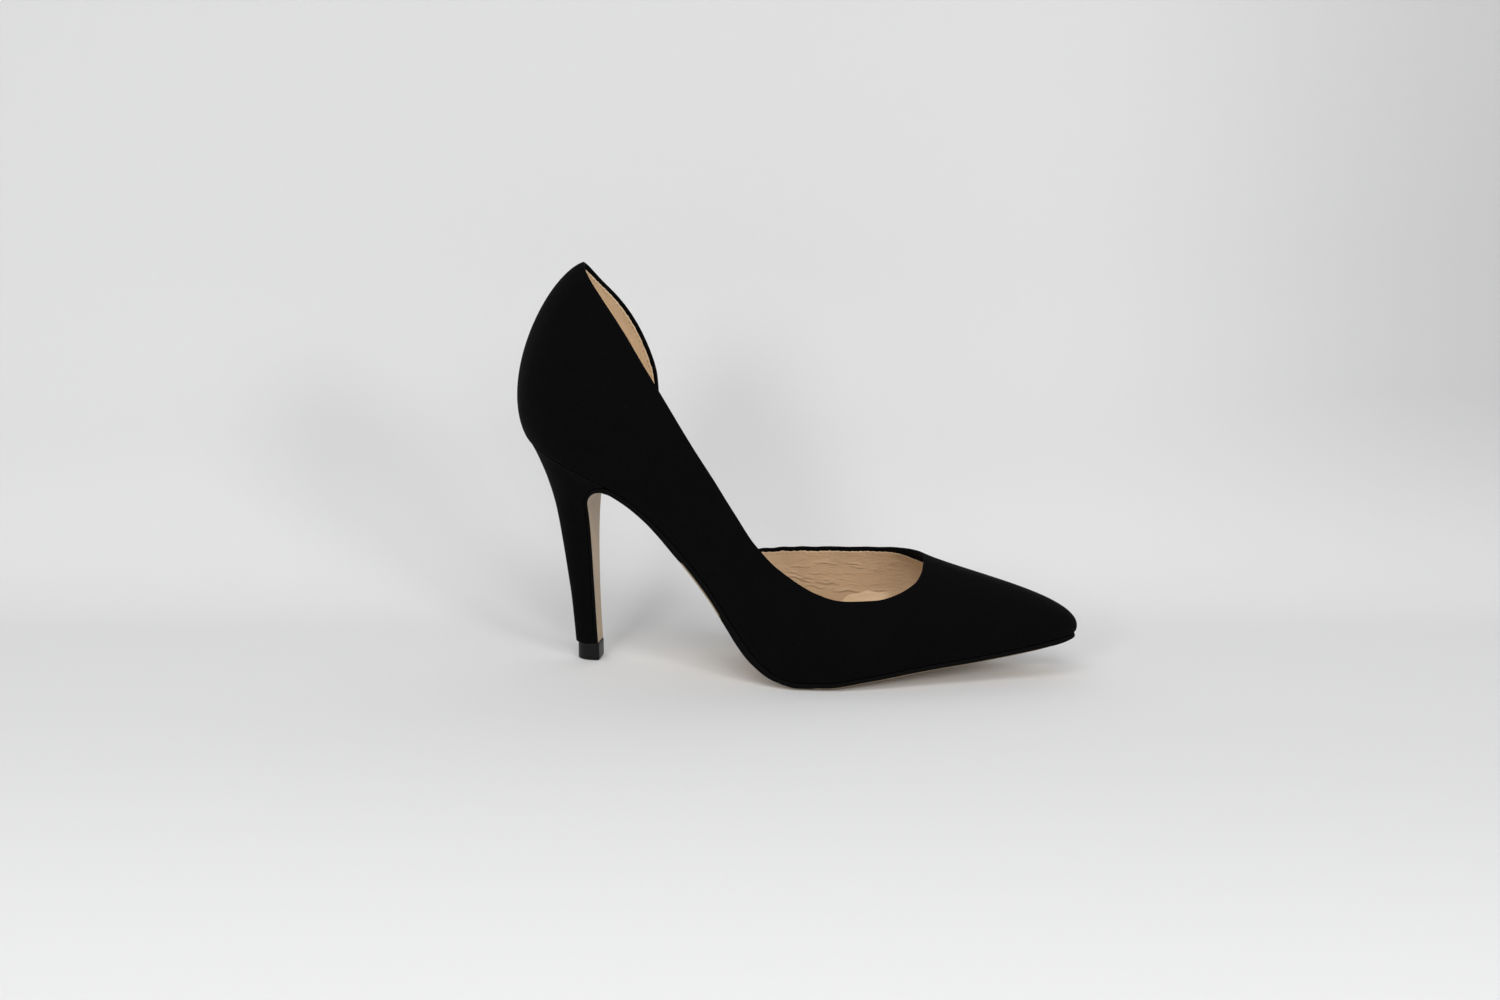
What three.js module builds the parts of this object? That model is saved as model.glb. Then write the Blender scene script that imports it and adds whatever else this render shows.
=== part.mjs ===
// A womens right pump with a stiletto heel, in millimetres, +Z up. The outer quarter is closed and the inner
// side is cut down to the arch. The toe points along +X, the inner side is +Y, and the origin is the middle
// of the top lift's floor face. The shoe stands on its top lift and on the flat under its ball.
import * as THREE from "three";

// Sizes of the last. The bottom line is where the upper meets the sole and the heel.
const BOTTOM_REACH = 229.6; // from the back of the bottom line to the toe tip, along the floor
const HEEL_SETBACK = 25.7; // from the middle of the top lift to the back of the bottom line
const SEAT_HEIGHT = 97.6; // the bottom line's height at its back
const TOE_SPRING = 16.6; // the bottom line's rise from the ball to the toe tip
const BALL_WIDTH = 71;
const SEAT_WIDTH = 49;
const COUNTER_HEIGHT = 82.4; // the topline's peak over the bottom line below it
const THROAT_HEIGHT = 40; // the topline's front over the bottom line below it
const TOE_SWING = 6; // how far the toe tip lies to the inner side
const SEAT_ROUND = 26;
const TOE_ROUND = 7;
const EDGE_LIFT = 1.2; // how far the sole's edge curls up beside the ball

// Thicknesses, and the gap that is left between neighbours.
const WALL = 1.6;
const MARGIN_THICKNESS = 1.2;
const MARGIN_WIDTH = 8;
const SOLE_THICKNESS = 2.2;
const FLAP_THICKNESS = 1.2;
const INSOLE_THICKNESS = 2.4;
const GAP = 0.3;
const SOLE_INSET = 0.4;
const INSOLE_CLEARANCE = 0.5;

// The heel, the leather flap on its front, and the top lift.
const LIFT_HEIGHT = 7.4;
const LIFT_DEPTH = 9.8;
const LIFT_WIDTH = 9.6;
const LIFT_CHAMFER = 0.8;
const HEEL_FOOT_BACK = 5.8; // how far the heel's foot reaches behind the top lift's middle
const HEEL_FOOT_WIDTH = 10.6;
const BREAST_LINE = 2.9; // the flap's front face, ahead of the top lift's middle, at its top
const BREAST_KICK = 1.7; // how much further forward that face is at its foot
const BREAST_ROUND = 7.5; // the concave corner between that face and the sole
const HEEL_LIP = 0.4; // the thickness of the heel's front edge, between the seat and the flap

const mix = (a, b, share) => a + (b - a) * share;
const clamp = (value, low, high) => Math.min(high, Math.max(low, value));
const ramp = (value, from, to) => THREE.MathUtils.smoothstep(value, from, to);

// The bottom line from the side: reach is a share of BOTTOM_REACH, lift of the seat's rise over the ball and
// spring of TOE_SPRING.
const BOTTOM = [
  { reach: 0.0, lift: 1.0, spring: 0 },
  { reach: 0.17, lift: 0.803, spring: 0 },
  { reach: 0.205, lift: 0.748, spring: 0 },
  { reach: 0.24, lift: 0.675, spring: 0 },
  { reach: 0.28, lift: 0.58, spring: 0 },
  { reach: 0.32, lift: 0.472, spring: 0 },
  { reach: 0.36, lift: 0.352, spring: 0 },
  { reach: 0.4, lift: 0.217, spring: 0 },
  { reach: 0.44, lift: 0.093, spring: 0 },
  { reach: 0.48, lift: 0.0225, spring: 0 },
  { reach: 0.52, lift: 0.0, spring: 0 },
  { reach: 0.565, lift: 0.0, spring: 0 },
  { reach: 0.64, lift: 0.0, spring: 0.14 },
  { reach: 0.74, lift: 0.0, spring: 0.36 },
  { reach: 0.84, lift: 0.0, spring: 0.55 },
  { reach: 0.92, lift: 0.0, spring: 0.74 },
  { reach: 1.0, lift: 0.0, spring: 1.0 },
];

// The bottom line from below: half widths to the outer and inner side of the last's middle, as shares of half
// of SEAT_WIDTH at the back and of BALL_WIDTH from the waist on. The ends are rounded by SEAT_ROUND and
// TOE_ROUND, and curl is the share of EDGE_LIFT that the sole's edge has.
const OUTLINE = [
  { reach: 0.0, outer: 0.97, inner: 0.97, curl: 0 },
  { reach: 0.1, outer: 1.0, inner: 1.0, curl: 0 },
  { reach: 0.17, outer: 0.94, inner: 0.9, curl: 0 },
  { reach: 0.25, outer: 0.75, inner: 0.66, curl: 0 },
  { reach: 0.33, outer: 0.69, inner: 0.57, curl: 0.1 },
  { reach: 0.4, outer: 0.8, inner: 0.67, curl: 0.5 },
  { reach: 0.46, outer: 0.93, inner: 0.82, curl: 0.9 },
  { reach: 0.52, outer: 1.0, inner: 0.94, curl: 1 },
  { reach: 0.58, outer: 0.99, inner: 0.98, curl: 1 },
  { reach: 0.65, outer: 0.9, inner: 0.92, curl: 0.9 },
  { reach: 0.72, outer: 0.76, inner: 0.8, curl: 0.75 },
  { reach: 0.8, outer: 0.59, inner: 0.635, curl: 0.5 },
  { reach: 0.88, outer: 0.42, inner: 0.45, curl: 0.3 },
  { reach: 0.94, outer: 0.295, inner: 0.315, curl: 0.1 },
  { reach: 1.0, outer: 0.17, inner: 0.18, curl: 0 },
];

// The upper, once around from the back seam along the outer side to the toe and back along the inner side.
// The wall leaves the bottom line at the share "around" of that trip, and meets the topline at reach and at
// side, a share of the last's half width there, rise over the bottom line, a share of the upper's height.
// It leaves the bottom line flare degrees outwards and the topline lean degrees outwards, and low and high
// are how far it holds those directions, as shares of its own length.
const UPPER = [
  { around: 0.0, reach: 0.109, side: 0.0, rise: 1.0, flare: 51, low: 0.345, lean: 50, high: 0.216 },
  { around: 0.03, reach: 0.127, side: -0.42, rise: 0.982, flare: 50, low: 0.33, lean: 47, high: 0.224 },
  { around: 0.06, reach: 0.156, side: -0.62, rise: 0.948, flare: 44, low: 0.33, lean: 37, high: 0.26 },
  { around: 0.09, reach: 0.193, side: -0.76, rise: 0.903, flare: 35, low: 0.33, lean: 30, high: 0.3 },
  { around: 0.125, reach: 0.247, side: -0.87, rise: 0.84, flare: 24, low: 0.33, lean: 18, high: 0.33 },
  { around: 0.165, reach: 0.34, side: -0.82, rise: 0.762, flare: 26, low: 0.34, lean: 14, high: 0.33 },
  { around: 0.2, reach: 0.414, side: -0.8, rise: 0.777, flare: 26, low: 0.35, lean: 14, high: 0.33 },
  { around: 0.225, reach: 0.458, side: -0.81, rise: 0.786, flare: 24, low: 0.36, lean: 14, high: 0.33 },
  { around: 0.25, reach: 0.5, side: -0.82, rise: 0.766, flare: 22, low: 0.38, lean: 16, high: 0.34 },
  { around: 0.28, reach: 0.549, side: -0.825, rise: 0.705, flare: 20, low: 0.38, lean: 20, high: 0.36 },
  { around: 0.31, reach: 0.6, side: -0.8, rise: 0.677, flare: 18, low: 0.36, lean: 22, high: 0.38 },
  { around: 0.345, reach: 0.654, side: -0.72, rise: 0.688, flare: 16, low: 0.33, lean: 22, high: 0.4 },
  { around: 0.38, reach: 0.698, side: -0.56, rise: 0.757, flare: 16, low: 0.3, lean: 20, high: 0.42 },
  { around: 0.42, reach: 0.722, side: -0.36, rise: 0.85, flare: 18, low: 0.25, lean: 16, high: 0.45 },
  { around: 0.46, reach: 0.728, side: -0.18, rise: 0.93, flare: 30, low: 0.2, lean: 11, high: 0.44 },
  { around: 0.5, reach: 0.728, side: 0.0, rise: 0.984, flare: 36, low: 0.19, lean: 9, high: 0.44 },
  { around: 0.54, reach: 0.7265, side: 0.16, rise: 1.002, flare: 30, low: 0.2, lean: 11, high: 0.44 },
  { around: 0.58, reach: 0.717, side: 0.34, rise: 0.982, flare: 18, low: 0.25, lean: 16, high: 0.45 },
  { around: 0.62, reach: 0.695, side: 0.54, rise: 0.9535, flare: 16, low: 0.3, lean: 20, high: 0.42 },
  { around: 0.655, reach: 0.655, side: 0.72, rise: 0.9083, flare: 16, low: 0.33, lean: 22, high: 0.4 },
  { around: 0.672, reach: 0.632, side: 0.782, rise: 0.8795, flare: 16.7, low: 0.35, lean: 21.4, high: 0.38 },
  { around: 0.69, reach: 0.605, side: 0.83, rise: 0.8605, flare: 18, low: 0.36, lean: 20, high: 0.36 },
  { around: 0.72, reach: 0.55, side: 0.87, rise: 0.804, flare: 20, low: 0.38, lean: 16, high: 0.34 },
  { around: 0.735, reach: 0.5215, side: 0.867, rise: 0.7705, flare: 21.2, low: 0.37, lean: 15, high: 0.335 },
  { around: 0.75, reach: 0.49, side: 0.86, rise: 0.7155, flare: 22, low: 0.36, lean: 14, high: 0.33 },
  { around: 0.7625, reach: 0.459, side: 0.85, rise: 0.6205, flare: 22, low: 0.36, lean: 13, high: 0.33 },
  { around: 0.775, reach: 0.425, side: 0.83, rise: 0.4575, flare: 22, low: 0.35, lean: 12, high: 0.33 },
  { around: 0.79, reach: 0.382, side: 0.76, rise: 0.209, flare: 18, low: 0.33, lean: 10, high: 0.33 },
  { around: 0.802, reach: 0.354, side: 0.69, rise: 0.115, flare: 12, low: 0.33, lean: 6, high: 0.33 },
  { around: 0.83, reach: 0.29, side: 0.64, rise: 0.088, flare: 8, low: 0.33, lean: 4, high: 0.33 },
  { around: 0.85, reach: 0.246, side: 0.78, rise: 0.105, flare: 12, low: 0.33, lean: 6, high: 0.33 },
  { around: 0.865, reach: 0.228, side: 0.88, rise: 0.22, flare: 18, low: 0.33, lean: 10, high: 0.33 },
  { around: 0.88, reach: 0.2258, side: 0.92, rise: 0.414, flare: 22, low: 0.33, lean: 14, high: 0.33 },
  { around: 0.9, reach: 0.223, side: 0.88, rise: 0.633, flare: 24, low: 0.33, lean: 24, high: 0.33 },
  { around: 0.925, reach: 0.1938, side: 0.8, rise: 0.82, flare: 36, low: 0.33, lean: 31, high: 0.3 },
  { around: 0.95, reach: 0.1618, side: 0.66, rise: 0.9, flare: 44, low: 0.33, lean: 38, high: 0.27 },
  { around: 0.975, reach: 0.131, side: 0.45, rise: 0.942, flare: 50, low: 0.33, lean: 47, high: 0.224 },
];

// The heel from its seat, drop 0, to its foot, drop 1: how far its back has come forward and how much of its
// width is left, as shares of what changes in all, and how far its front has come down along the flap.
const HEEL = [
  { drop: 0.0, back: 0.0, width: 1.0, front: 0.0 },
  { drop: 0.045, back: 0.13, width: 0.88, front: 0.045 },
  { drop: 0.1, back: 0.255, width: 0.72, front: 0.1 },
  { drop: 0.2, back: 0.43, width: 0.47, front: 0.19 },
  { drop: 0.35, back: 0.615, width: 0.245, front: 0.33 },
  { drop: 0.5, back: 0.73, width: 0.13, front: 0.48 },
  { drop: 0.65, back: 0.83, width: 0.065, front: 0.635 },
  { drop: 0.8, back: 0.92, width: 0.025, front: 0.79 },
  { drop: 1.0, back: 1.0, width: 0.0, front: 1.0 },
];

const SEAT_RISE = SEAT_HEIGHT - SOLE_THICKNESS - GAP; // of the bottom line, over the ball
const ROUND_TOE_PULL = 1.8; // an inset outline's tip draws in by more than its sides do
const ACROSS = [-1, -0.9, -0.78, -0.62, 0, 0.62, 0.78, 0.9, 1]; // a plate's points across its half widths
const FLAT_ACROSS = 0.62; // the share of the half width that the edge's curl leaves flat
const STATIONS = 104; // around the upper
const WALL_STEPS = 11; // up the wall
const PLATE_STEPS = 48; // along the soles
const SEAT_STEPS = 10; // along one side of the heel
const BEND_STEPS = 30; // how much closer the sections lie where the bottom bends
const DROPS = [0, 0.02, 0.045, 0.07, 0.1, 0.15, 0.2, 0.27, 0.35, 0.5, 0.65, 0.8, 1];

// A column of a table at a place along it, through every row with no overshoot. A closed table's first rows
// come again one turn later.
function column(table, key, name, at, turn = 0) {
  const rows = table.map((row) => [row[key], row[name]]);
  if (turn) {
    rows.push([rows[0][0] + turn, rows[0][1]], [rows[1][0] + turn, rows[1][1]]);
    rows.unshift([rows[table.length - 1][0] - turn, rows[table.length - 1][1]]);
  }
  const last = rows.length - 1;
  const place = clamp(at, rows[0][0], rows[last][0]);
  let i = 0;
  while (i < last - 1 && place > rows[i + 1][0]) i += 1;
  const step = (j) => rows[j + 1][0] - rows[j][0];
  const slope = (j) => (rows[j + 1][1] - rows[j][1]) / step(j);
  const tangent = (j) => {
    if (j === 0) return slope(0);
    if (j === last) return slope(last - 1);
    const [a, b] = [slope(j - 1), slope(j)];
    if (a * b <= 0) return 0;
    const [p, q] = [2 * step(j) + step(j - 1), step(j) + 2 * step(j - 1)];
    return (p + q) / (p / a + q / b);
  };
  const h = step(i);
  const t = (place - rows[i][0]) / h;
  const rest = 1 - t;
  const ends = rows[i][1] * rest * rest * (1 + 2 * t) + rows[i + 1][1] * t * t * (3 - 2 * t);
  return ends + (tangent(i) * rest - tangent(i + 1) * t) * h * t * rest;
}

// Triangles between two rows of points, which may be closed into loops.
function strip(faces, a, b, closed) {
  const count = closed ? a.length : a.length - 1;
  for (let i = 0; i < count; i += 1) {
    const j = (i + 1) % a.length;
    faces.push([a[i], b[i], b[j]], [a[i], b[j], a[j]]);
  }
}

// A mesh from triangles, without those that have shrunk to a line, and with its faces pointing out.
function solid(name, faces, colour, roughness) {
  const real = faces.filter(([a, b, c]) => {
    const area = new THREE.Vector3().subVectors(b, a).cross(new THREE.Vector3().subVectors(c, a)).length();
    return a.distanceTo(b) > 2e-3 && b.distanceTo(c) > 2e-3 && c.distanceTo(a) > 2e-3 && area > 1e-9;
  });
  const volume = real.reduce((sum, [a, b, c]) => sum + a.dot(new THREE.Vector3().crossVectors(b, c)), 0);
  const points = real.flatMap(([a, b, c]) => (volume > 0 ? [a, b, c] : [a, c, b]));
  const geometry = new THREE.BufferGeometry().setFromPoints(points);
  geometry.computeVertexNormals();
  const mesh = new THREE.Mesh(geometry, new THREE.MeshStandardMaterial({ color: colour, roughness }));
  mesh.name = name;
  return mesh;
}

// A closed body from cross sections, each a loop of as many points, with its two ends filled in. Each end is
// a loop that runs out along one face and back along the other, so it is filled by strips across.
function loft(loops) {
  const faces = [];
  for (let i = 0; i + 1 < loops.length; i += 1) strip(faces, loops[i], loops[i + 1], true);
  for (const end of [loops[0], loops[loops.length - 1]]) {
    const half = end.length / 2;
    const out = end.slice(0, half);
    const back = end.slice(half).reverse();
    const cap = [];
    strip(cap, out, back, false);
    faces.push(...(end === loops[0] ? cap.map(([a, b, c]) => [a, c, b]) : cap));
  }
  return faces;
}

// Where a test goes from below nothing to above it.
function solve(test, from, to) {
  let [low, high] = [from, to];
  for (let i = 0; i < 40; i += 1) {
    const middle = (low + high) / 2;
    if (test(middle) < 0) low = middle;
    else high = middle;
  }
  return (low + high) / 2;
}

// The bottom line's place at a reach, and its direction square to it.
const bottomX = (reach) => reach * BOTTOM_REACH - HEEL_SETBACK;
const reachAt = (x) => (x + HEEL_SETBACK) / BOTTOM_REACH;
function bottomZ(reach) {
  const lift = column(BOTTOM, "reach", "lift", reach) * SEAT_RISE;
  return SOLE_THICKNESS + GAP + lift + column(BOTTOM, "reach", "spring", reach) * TOE_SPRING;
}
function bottomUp(reach) {
  const [from, to] = [clamp(reach - 1e-3, 0, 1), clamp(reach + 1e-3, 0, 1)];
  return new THREE.Vector3(bottomZ(from) - bottomZ(to), 0, (to - from) * BOTTOM_REACH).normalize();
}

// The bottom's edge on one side, drawn in by inset. Side is -1 on the outer side and 1 on the inner one, and
// share goes from the back to the toe with short steps at both.
const swing = (reach) => TOE_SWING * ramp(reach, 0.45, 1);
const halfWidth = (reach) => mix(SEAT_WIDTH, BALL_WIDTH, ramp(reach, 0.15, 0.42)) / 2;
function fullWide(reach, side) {
  return column(OUTLINE, "reach", side < 0 ? "outer" : "inner", reach) * halfWidth(reach);
}
const roundEnd = (distance, radius) => Math.sqrt(1 - (1 - clamp(distance / radius, 0, 1)) ** 2);
const backEnd = (inset) => inset / BOTTOM_REACH;
const toeEnd = (inset) => 1 - (ROUND_TOE_PULL * inset) / BOTTOM_REACH;
function edgeY(reach, side, inset) {
  const toe = roundEnd((toeEnd(inset) - reach) * BOTTOM_REACH, TOE_ROUND);
  const seat = roundEnd((reach - backEnd(inset)) * BOTTOM_REACH, SEAT_ROUND);
  return swing(reach) + side * (fullWide(reach, side) - inset) * toe * seat;
}
const shareReach = (share, from, to) => mix(from, to, (1 - Math.cos(Math.PI * share)) / 2);

// A point of the shoe's bottom, over the bottom line by height. The bottom's edge curls up beside the ball.
function bottomPoint(reach, y, height) {
  const side = y - swing(reach);
  const across = Math.abs(side) / fullWide(reach, side);
  const edge = clamp((across - FLAT_ACROSS) / (1 - FLAT_ACROSS), 0, 1);
  const over = height + column(OUTLINE, "reach", "curl", reach) * EDGE_LIFT * edge * edge;
  return new THREE.Vector3(bottomX(reach), y, bottomZ(reach)).addScaledVector(bottomUp(reach), over);
}
function edgePoint(around, inset, height) {
  const side = around < 0.5 ? -1 : 1;
  const share = side < 0 ? 2 * around : 2 * (1 - around);
  const full = shareReach(share, 0, 1);
  const reach = full + backEnd(inset) * (1 - full) ** 4 - (1 - toeEnd(inset)) * full ** 4;
  return { reach, point: bottomPoint(reach, edgeY(reach, side, inset), height) };
}

// The topline's point and the wall's profile up to it, at one place around the shoe.
const topFront = UPPER.find((row) => row.around === 0.5).reach;
function topPoint(around) {
  const at = (name) => column(UPPER, "around", name, around, 1);
  const reach = at("reach");
  const height = mix(COUNTER_HEIGHT, THROAT_HEIGHT, (reach - UPPER[0].reach) / (topFront - UPPER[0].reach));
  const y = swing(reach) + at("side") * halfWidth(reach);
  return new THREE.Vector3(bottomX(reach), y, bottomZ(reach) + at("rise") * height);
}
function profile(place) {
  const around = place - Math.floor(place);
  const at = (name) => column(UPPER, "around", name, around, 1);
  const angle = (name) => THREE.MathUtils.degToRad(at(name));
  const step = 2e-3;
  const turn = (value) => value - Math.floor(value);
  const { reach, point: foot } = edgePoint(around, 0, 0);
  const ahead = edgePoint(turn(around + step), 0, 0).point;
  const up = bottomUp(reach);
  const out = ahead.sub(edgePoint(turn(around - step), 0, 0).point).cross(up).normalize();
  const top = topPoint(around);
  const chord = top.clone().sub(foot);
  const length = chord.length();
  chord.normalize();
  const topOut = out.clone().addScaledVector(chord, -out.dot(chord)).normalize();
  const low = foot.clone();
  low.addScaledVector(up, at("low") * length * Math.cos(angle("flare")));
  low.addScaledVector(out, at("low") * length * Math.sin(angle("flare")));
  const high = top.clone();
  high.addScaledVector(chord, -at("high") * length * Math.cos(angle("lean")));
  high.addScaledVector(topOut, at("high") * length * Math.sin(angle("lean")));
  return { foot, low, high, top, length };
}
function along({ foot, low, high, top }, share) {
  const rest = 1 - share;
  return new THREE.Vector3()
    .addScaledVector(foot, rest ** 3)
    .addScaledVector(low, 3 * rest * rest * share)
    .addScaledVector(high, 3 * rest * share * share)
    .addScaledVector(top, share ** 3);
}

// Shares from 0 up to 1 at even steps of a length, which is given from one share to the next.
function evenShares(count, length) {
  const fine = 2000;
  const lengths = [0];
  for (let i = 0; i < fine; i += 1) lengths.push(lengths[i] + length(i / fine, (i + 1) / fine));
  const shares = [];
  let i = 0;
  for (let k = 0; k < count; k += 1) {
    const wanted = (k / count) * lengths[fine];
    while (lengths[i + 1] < wanted) i += 1;
    shares.push((i + (wanted - lengths[i]) / (lengths[i + 1] - lengths[i])) / fine);
  }
  return shares;
}

// The places around the shoe at which the upper has a section, closer where the bottom bends.
function stations() {
  return evenShares(STATIONS, (a, b) => {
    const [from, to] = [edgePoint(a, 0, 0), edgePoint(b % 1, 0, 0)];
    const bend = BEND_STEPS * bottomUp(from.reach).distanceTo(bottomUp(to.reach));
    return from.point.distanceTo(to.point) + topPoint(a).distanceTo(topPoint(b % 1)) + bend;
  });
}

// The reaches at which a plate has a section, from the back or from another place to the toe.
function plateReaches(inset, from = backEnd(inset)) {
  const reach = (share) => shareReach(share, from, toeEnd(inset));
  const shares = evenShares(PLATE_STEPS, (a, b) => {
    const bend = BEND_STEPS * bottomUp(reach(a)).distanceTo(bottomUp(reach(b)));
    const beside = Math.abs(edgeY(reach(a), 1, inset) - edgeY(reach(b), 1, inset));
    return (reach(b) - reach(a)) * BOTTOM_REACH + beside + bend;
  });
  return [...shares.slice(1), (1 + shares[PLATE_STEPS - 1]) / 2, 0.99].map(reach);
}

// One section of the upper: up the outside, over the topline, down the inside and in along the margin.
function upperSection(around) {
  const here = profile(around);
  const step = 2e-3;
  const [before, after] = [profile(around - step), profile(around + step)];
  const outside = (share) => along(here, share);
  const normal = (share) => {
    const up = along(here, Math.min(1, share + step)).sub(along(here, Math.max(0, share - step)));
    return along(after, share).sub(along(before, share)).cross(up).normalize();
  };
  const inside = (share) => outside(share).addScaledVector(normal(share), -WALL);
  const section = [];
  for (let i = 0; i <= WALL_STEPS; i += 1) section.push(outside(i / WALL_STEPS));
  const rim = outside(1).add(inside(1)).multiplyScalar(0.5);
  const over = outside(1).sub(outside(1 - step)).setLength(WALL * 0.3);
  section.push(rim.add(over));
  const first = Math.min(0.5, (MARGIN_THICKNESS + 0.8) / here.length);
  for (let i = WALL_STEPS; i >= 0; i -= 1) section.push(inside(mix(first, 1, i / WALL_STEPS)));
  section.push(edgePoint(around, WALL, MARGIN_THICKNESS).point);
  section.push(edgePoint(around, MARGIN_WIDTH / 2, MARGIN_THICKNESS).point);
  section.push(edgePoint(around, MARGIN_WIDTH, MARGIN_THICKNESS).point);
  section.push(edgePoint(around, MARGIN_WIDTH, 0).point);
  section.push(edgePoint(around, MARGIN_WIDTH / 2, 0).point);
  return section;
}

// The flap's visible face, from the sole round the corner and down the heel's front, by its length from where
// the corner starts. Inward is the direction from that face into the heel.
const footZ = LIFT_HEIGHT + GAP;
const underside = (reach) => bottomPoint(reach, 0, -GAP - SOLE_THICKNESS);
const cornerMiddle = (reach) => underside(reach).addScaledVector(bottomUp(reach), -BREAST_ROUND);
const cornerReach = solve((reach) => cornerMiddle(reach).x - BREAST_LINE - BREAST_ROUND, 0.08, 0.32);
const corner = cornerMiddle(cornerReach);
const cornerStart = Math.atan2(bottomUp(cornerReach).z, bottomUp(cornerReach).x);
const cornerLength = (Math.PI - cornerStart) * BREAST_ROUND;
const flapLength = cornerLength + corner.z - footZ;
function flapFace(length) {
  if (length < cornerLength) {
    const turned = cornerStart + length / BREAST_ROUND;
    const inward = new THREE.Vector3(Math.cos(turned), 0, Math.sin(turned));
    return { face: corner.clone().addScaledVector(inward, BREAST_ROUND), inward };
  }
  const down = (length - cornerLength) / (flapLength - cornerLength);
  const face = new THREE.Vector3(BREAST_LINE + BREAST_KICK * down * down, 0, mix(corner.z, footZ, down));
  return { face, inward: new THREE.Vector3(-1, 0, 0) };
}
const flapThickness = (length) => mix(SOLE_THICKNESS, FLAP_THICKNESS, ramp(length, 0, cornerLength));
function heelFront(length) {
  const { face, inward } = flapFace(length);
  return face.addScaledVector(inward, flapThickness(length) + GAP);
}

// The heel's front edge lies where there is room for it between the seat and the flap.
const lipLength = solve((length) => {
  const front = heelFront(length);
  const reach = reachAt(front.x);
  return (bottomZ(reach) - front.z) * bottomUp(reach).z - GAP - HEEL_LIP;
}, 0, cornerLength);
const lipReach = reachAt(heelFront(lipLength).x);
const seatEdge = (side) => edgeY(lipReach, side, SOLE_INSET);
const heelWidth = (share, side) => mix((side * HEEL_FOOT_WIDTH) / 2, seatEdge(side), share);

// The seat's outline as shares: back from the heel's front edge to its rear, and beside the shoe's axis of
// the half width at the front edge.
function seatLoop() {
  const loop = [];
  const back = backEnd(SOLE_INSET);
  for (const side of [-1, 1]) {
    for (let i = 0; i < SEAT_STEPS; i += 1) {
      const share = (side < 0 ? i : SEAT_STEPS - 1 - i) / (SEAT_STEPS - 0.5);
      const reach = mix(lipReach, back, Math.sin((Math.PI / 2) * share));
      const beside = edgeY(reach, side, SOLE_INSET) / seatEdge(side);
      loop.push({ side, beside, back: (lipReach - reach) / (lipReach - back), reach });
    }
  }
  return loop;
}

function upper() {
  const sections = stations().map(upperSection);
  const faces = [];
  sections.forEach((section, i) => strip(faces, section, sections[(i + 1) % sections.length], true));
  return solid("upper", faces, 0x111111, 0.95);
}

// A cross section of a plate that follows the shoe's bottom from low to high, both over the bottom line.
function plateSection(reach, inset, low, high) {
  const row = (height) =>
    ACROSS.map((across) => {
      const y = mix(edgeY(reach, -1, inset), edgeY(reach, 1, inset), (across + 1) / 2);
      return bottomPoint(reach, y, height);
    });
  return [...row(low), ...row(high).reverse()];
}

function insole() {
  const inset = WALL + INSOLE_CLEARANCE;
  const low = MARGIN_THICKNESS + GAP;
  const section = (reach) => plateSection(reach, inset, low, low + INSOLE_THICKNESS);
  const loops = [shareReach(0.01, backEnd(inset), toeEnd(inset)), ...plateReaches(inset)].map(section);
  return solid("insole", loft(loops), 0xc3a583, 0.6);
}

// The sole runs from the toe to the corner, and goes on as the flap down the heel's front.
function outsole() {
  const section = (reach) => plateSection(reach, SOLE_INSET, -GAP - SOLE_THICKNESS, -GAP);
  const loops = [cornerReach, ...plateReaches(SOLE_INSET, cornerReach)].reverse().map(section);
  const lengths = [0.25, 0.5, 0.75].map((share) => share * lipLength);
  for (const drop of DROPS) lengths.push(mix(lipLength, flapLength, column(HEEL, "drop", "front", drop)));
  for (const length of lengths) {
    const { face, inward } = flapFace(length);
    const front = (length - lipLength) / (flapLength - lipLength);
    const edge = (side) => {
      if (front < 0) return edgeY(reachAt(face.x), side, SOLE_INSET);
      return heelWidth(column(HEEL, "front", "width", front), side);
    };
    const row = (inset) =>
      ACROSS.map((across) => {
        const point = face.clone().addScaledVector(inward, inset);
        point.y = mix(edge(-1), edge(1), (across + 1) / 2);
        return point;
      });
    loops.push([...row(0), ...row(flapThickness(length)).reverse()]);
  }
  return solid("outsole", loft(loops), 0xa8937c, 0.55);
}

// The heel hangs from the seat. Its front follows the flap and its sides draw in towards the foot.
function heel() {
  const seat = seatLoop();
  const seatZ = (reach) => bottomPoint(reach, 0, -GAP).z;
  const backX = bottomX(backEnd(SOLE_INSET));
  const top = seat.map((place) => bottomPoint(place.reach, edgeY(place.reach, place.side, SOLE_INSET), -GAP));
  const loops = [top];
  for (const drop of DROPS) {
    const front = heelFront(mix(lipLength, flapLength, column(HEEL, "drop", "front", drop)));
    const rear = mix(backX, -HEEL_FOOT_BACK, column(HEEL, "drop", "back", drop));
    const frontDrop = (seatZ(lipReach) - front.z) / (seatZ(lipReach) - footZ);
    if (drop === 0) continue;
    loops.push(
      seat.map((place) => {
        const y = heelWidth(column(HEEL, "drop", "width", drop), place.side) * place.beside;
        const z = mix(seatZ(place.reach), footZ, mix(frontDrop, drop, place.back));
        return new THREE.Vector3(mix(front.x, rear, place.back), y, z);
      }),
    );
  }
  return solid("heel", loft(loops), 0x0f0f0f, 0.95);
}

function topLift() {
  const seat = seatLoop();
  const row = (inset, z) =>
    seat.map((place) => {
      const x = mix(LIFT_DEPTH / 2 - inset, inset - LIFT_DEPTH / 2, place.back);
      return new THREE.Vector3(x, place.side * place.beside * (LIFT_WIDTH / 2 - inset), z);
    });
  const loops = [row(0, LIFT_HEIGHT), row(0, LIFT_CHAMFER), row(LIFT_CHAMFER, 0)];
  return solid("top_lift", loft(loops), 0x1d1d1d, 0.35);
}

const shoe = new THREE.Group();
shoe.name = "pump_shoe";
shoe.add(upper(), insole(), outsole(), heel(), topLift());
export default shoe;
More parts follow.
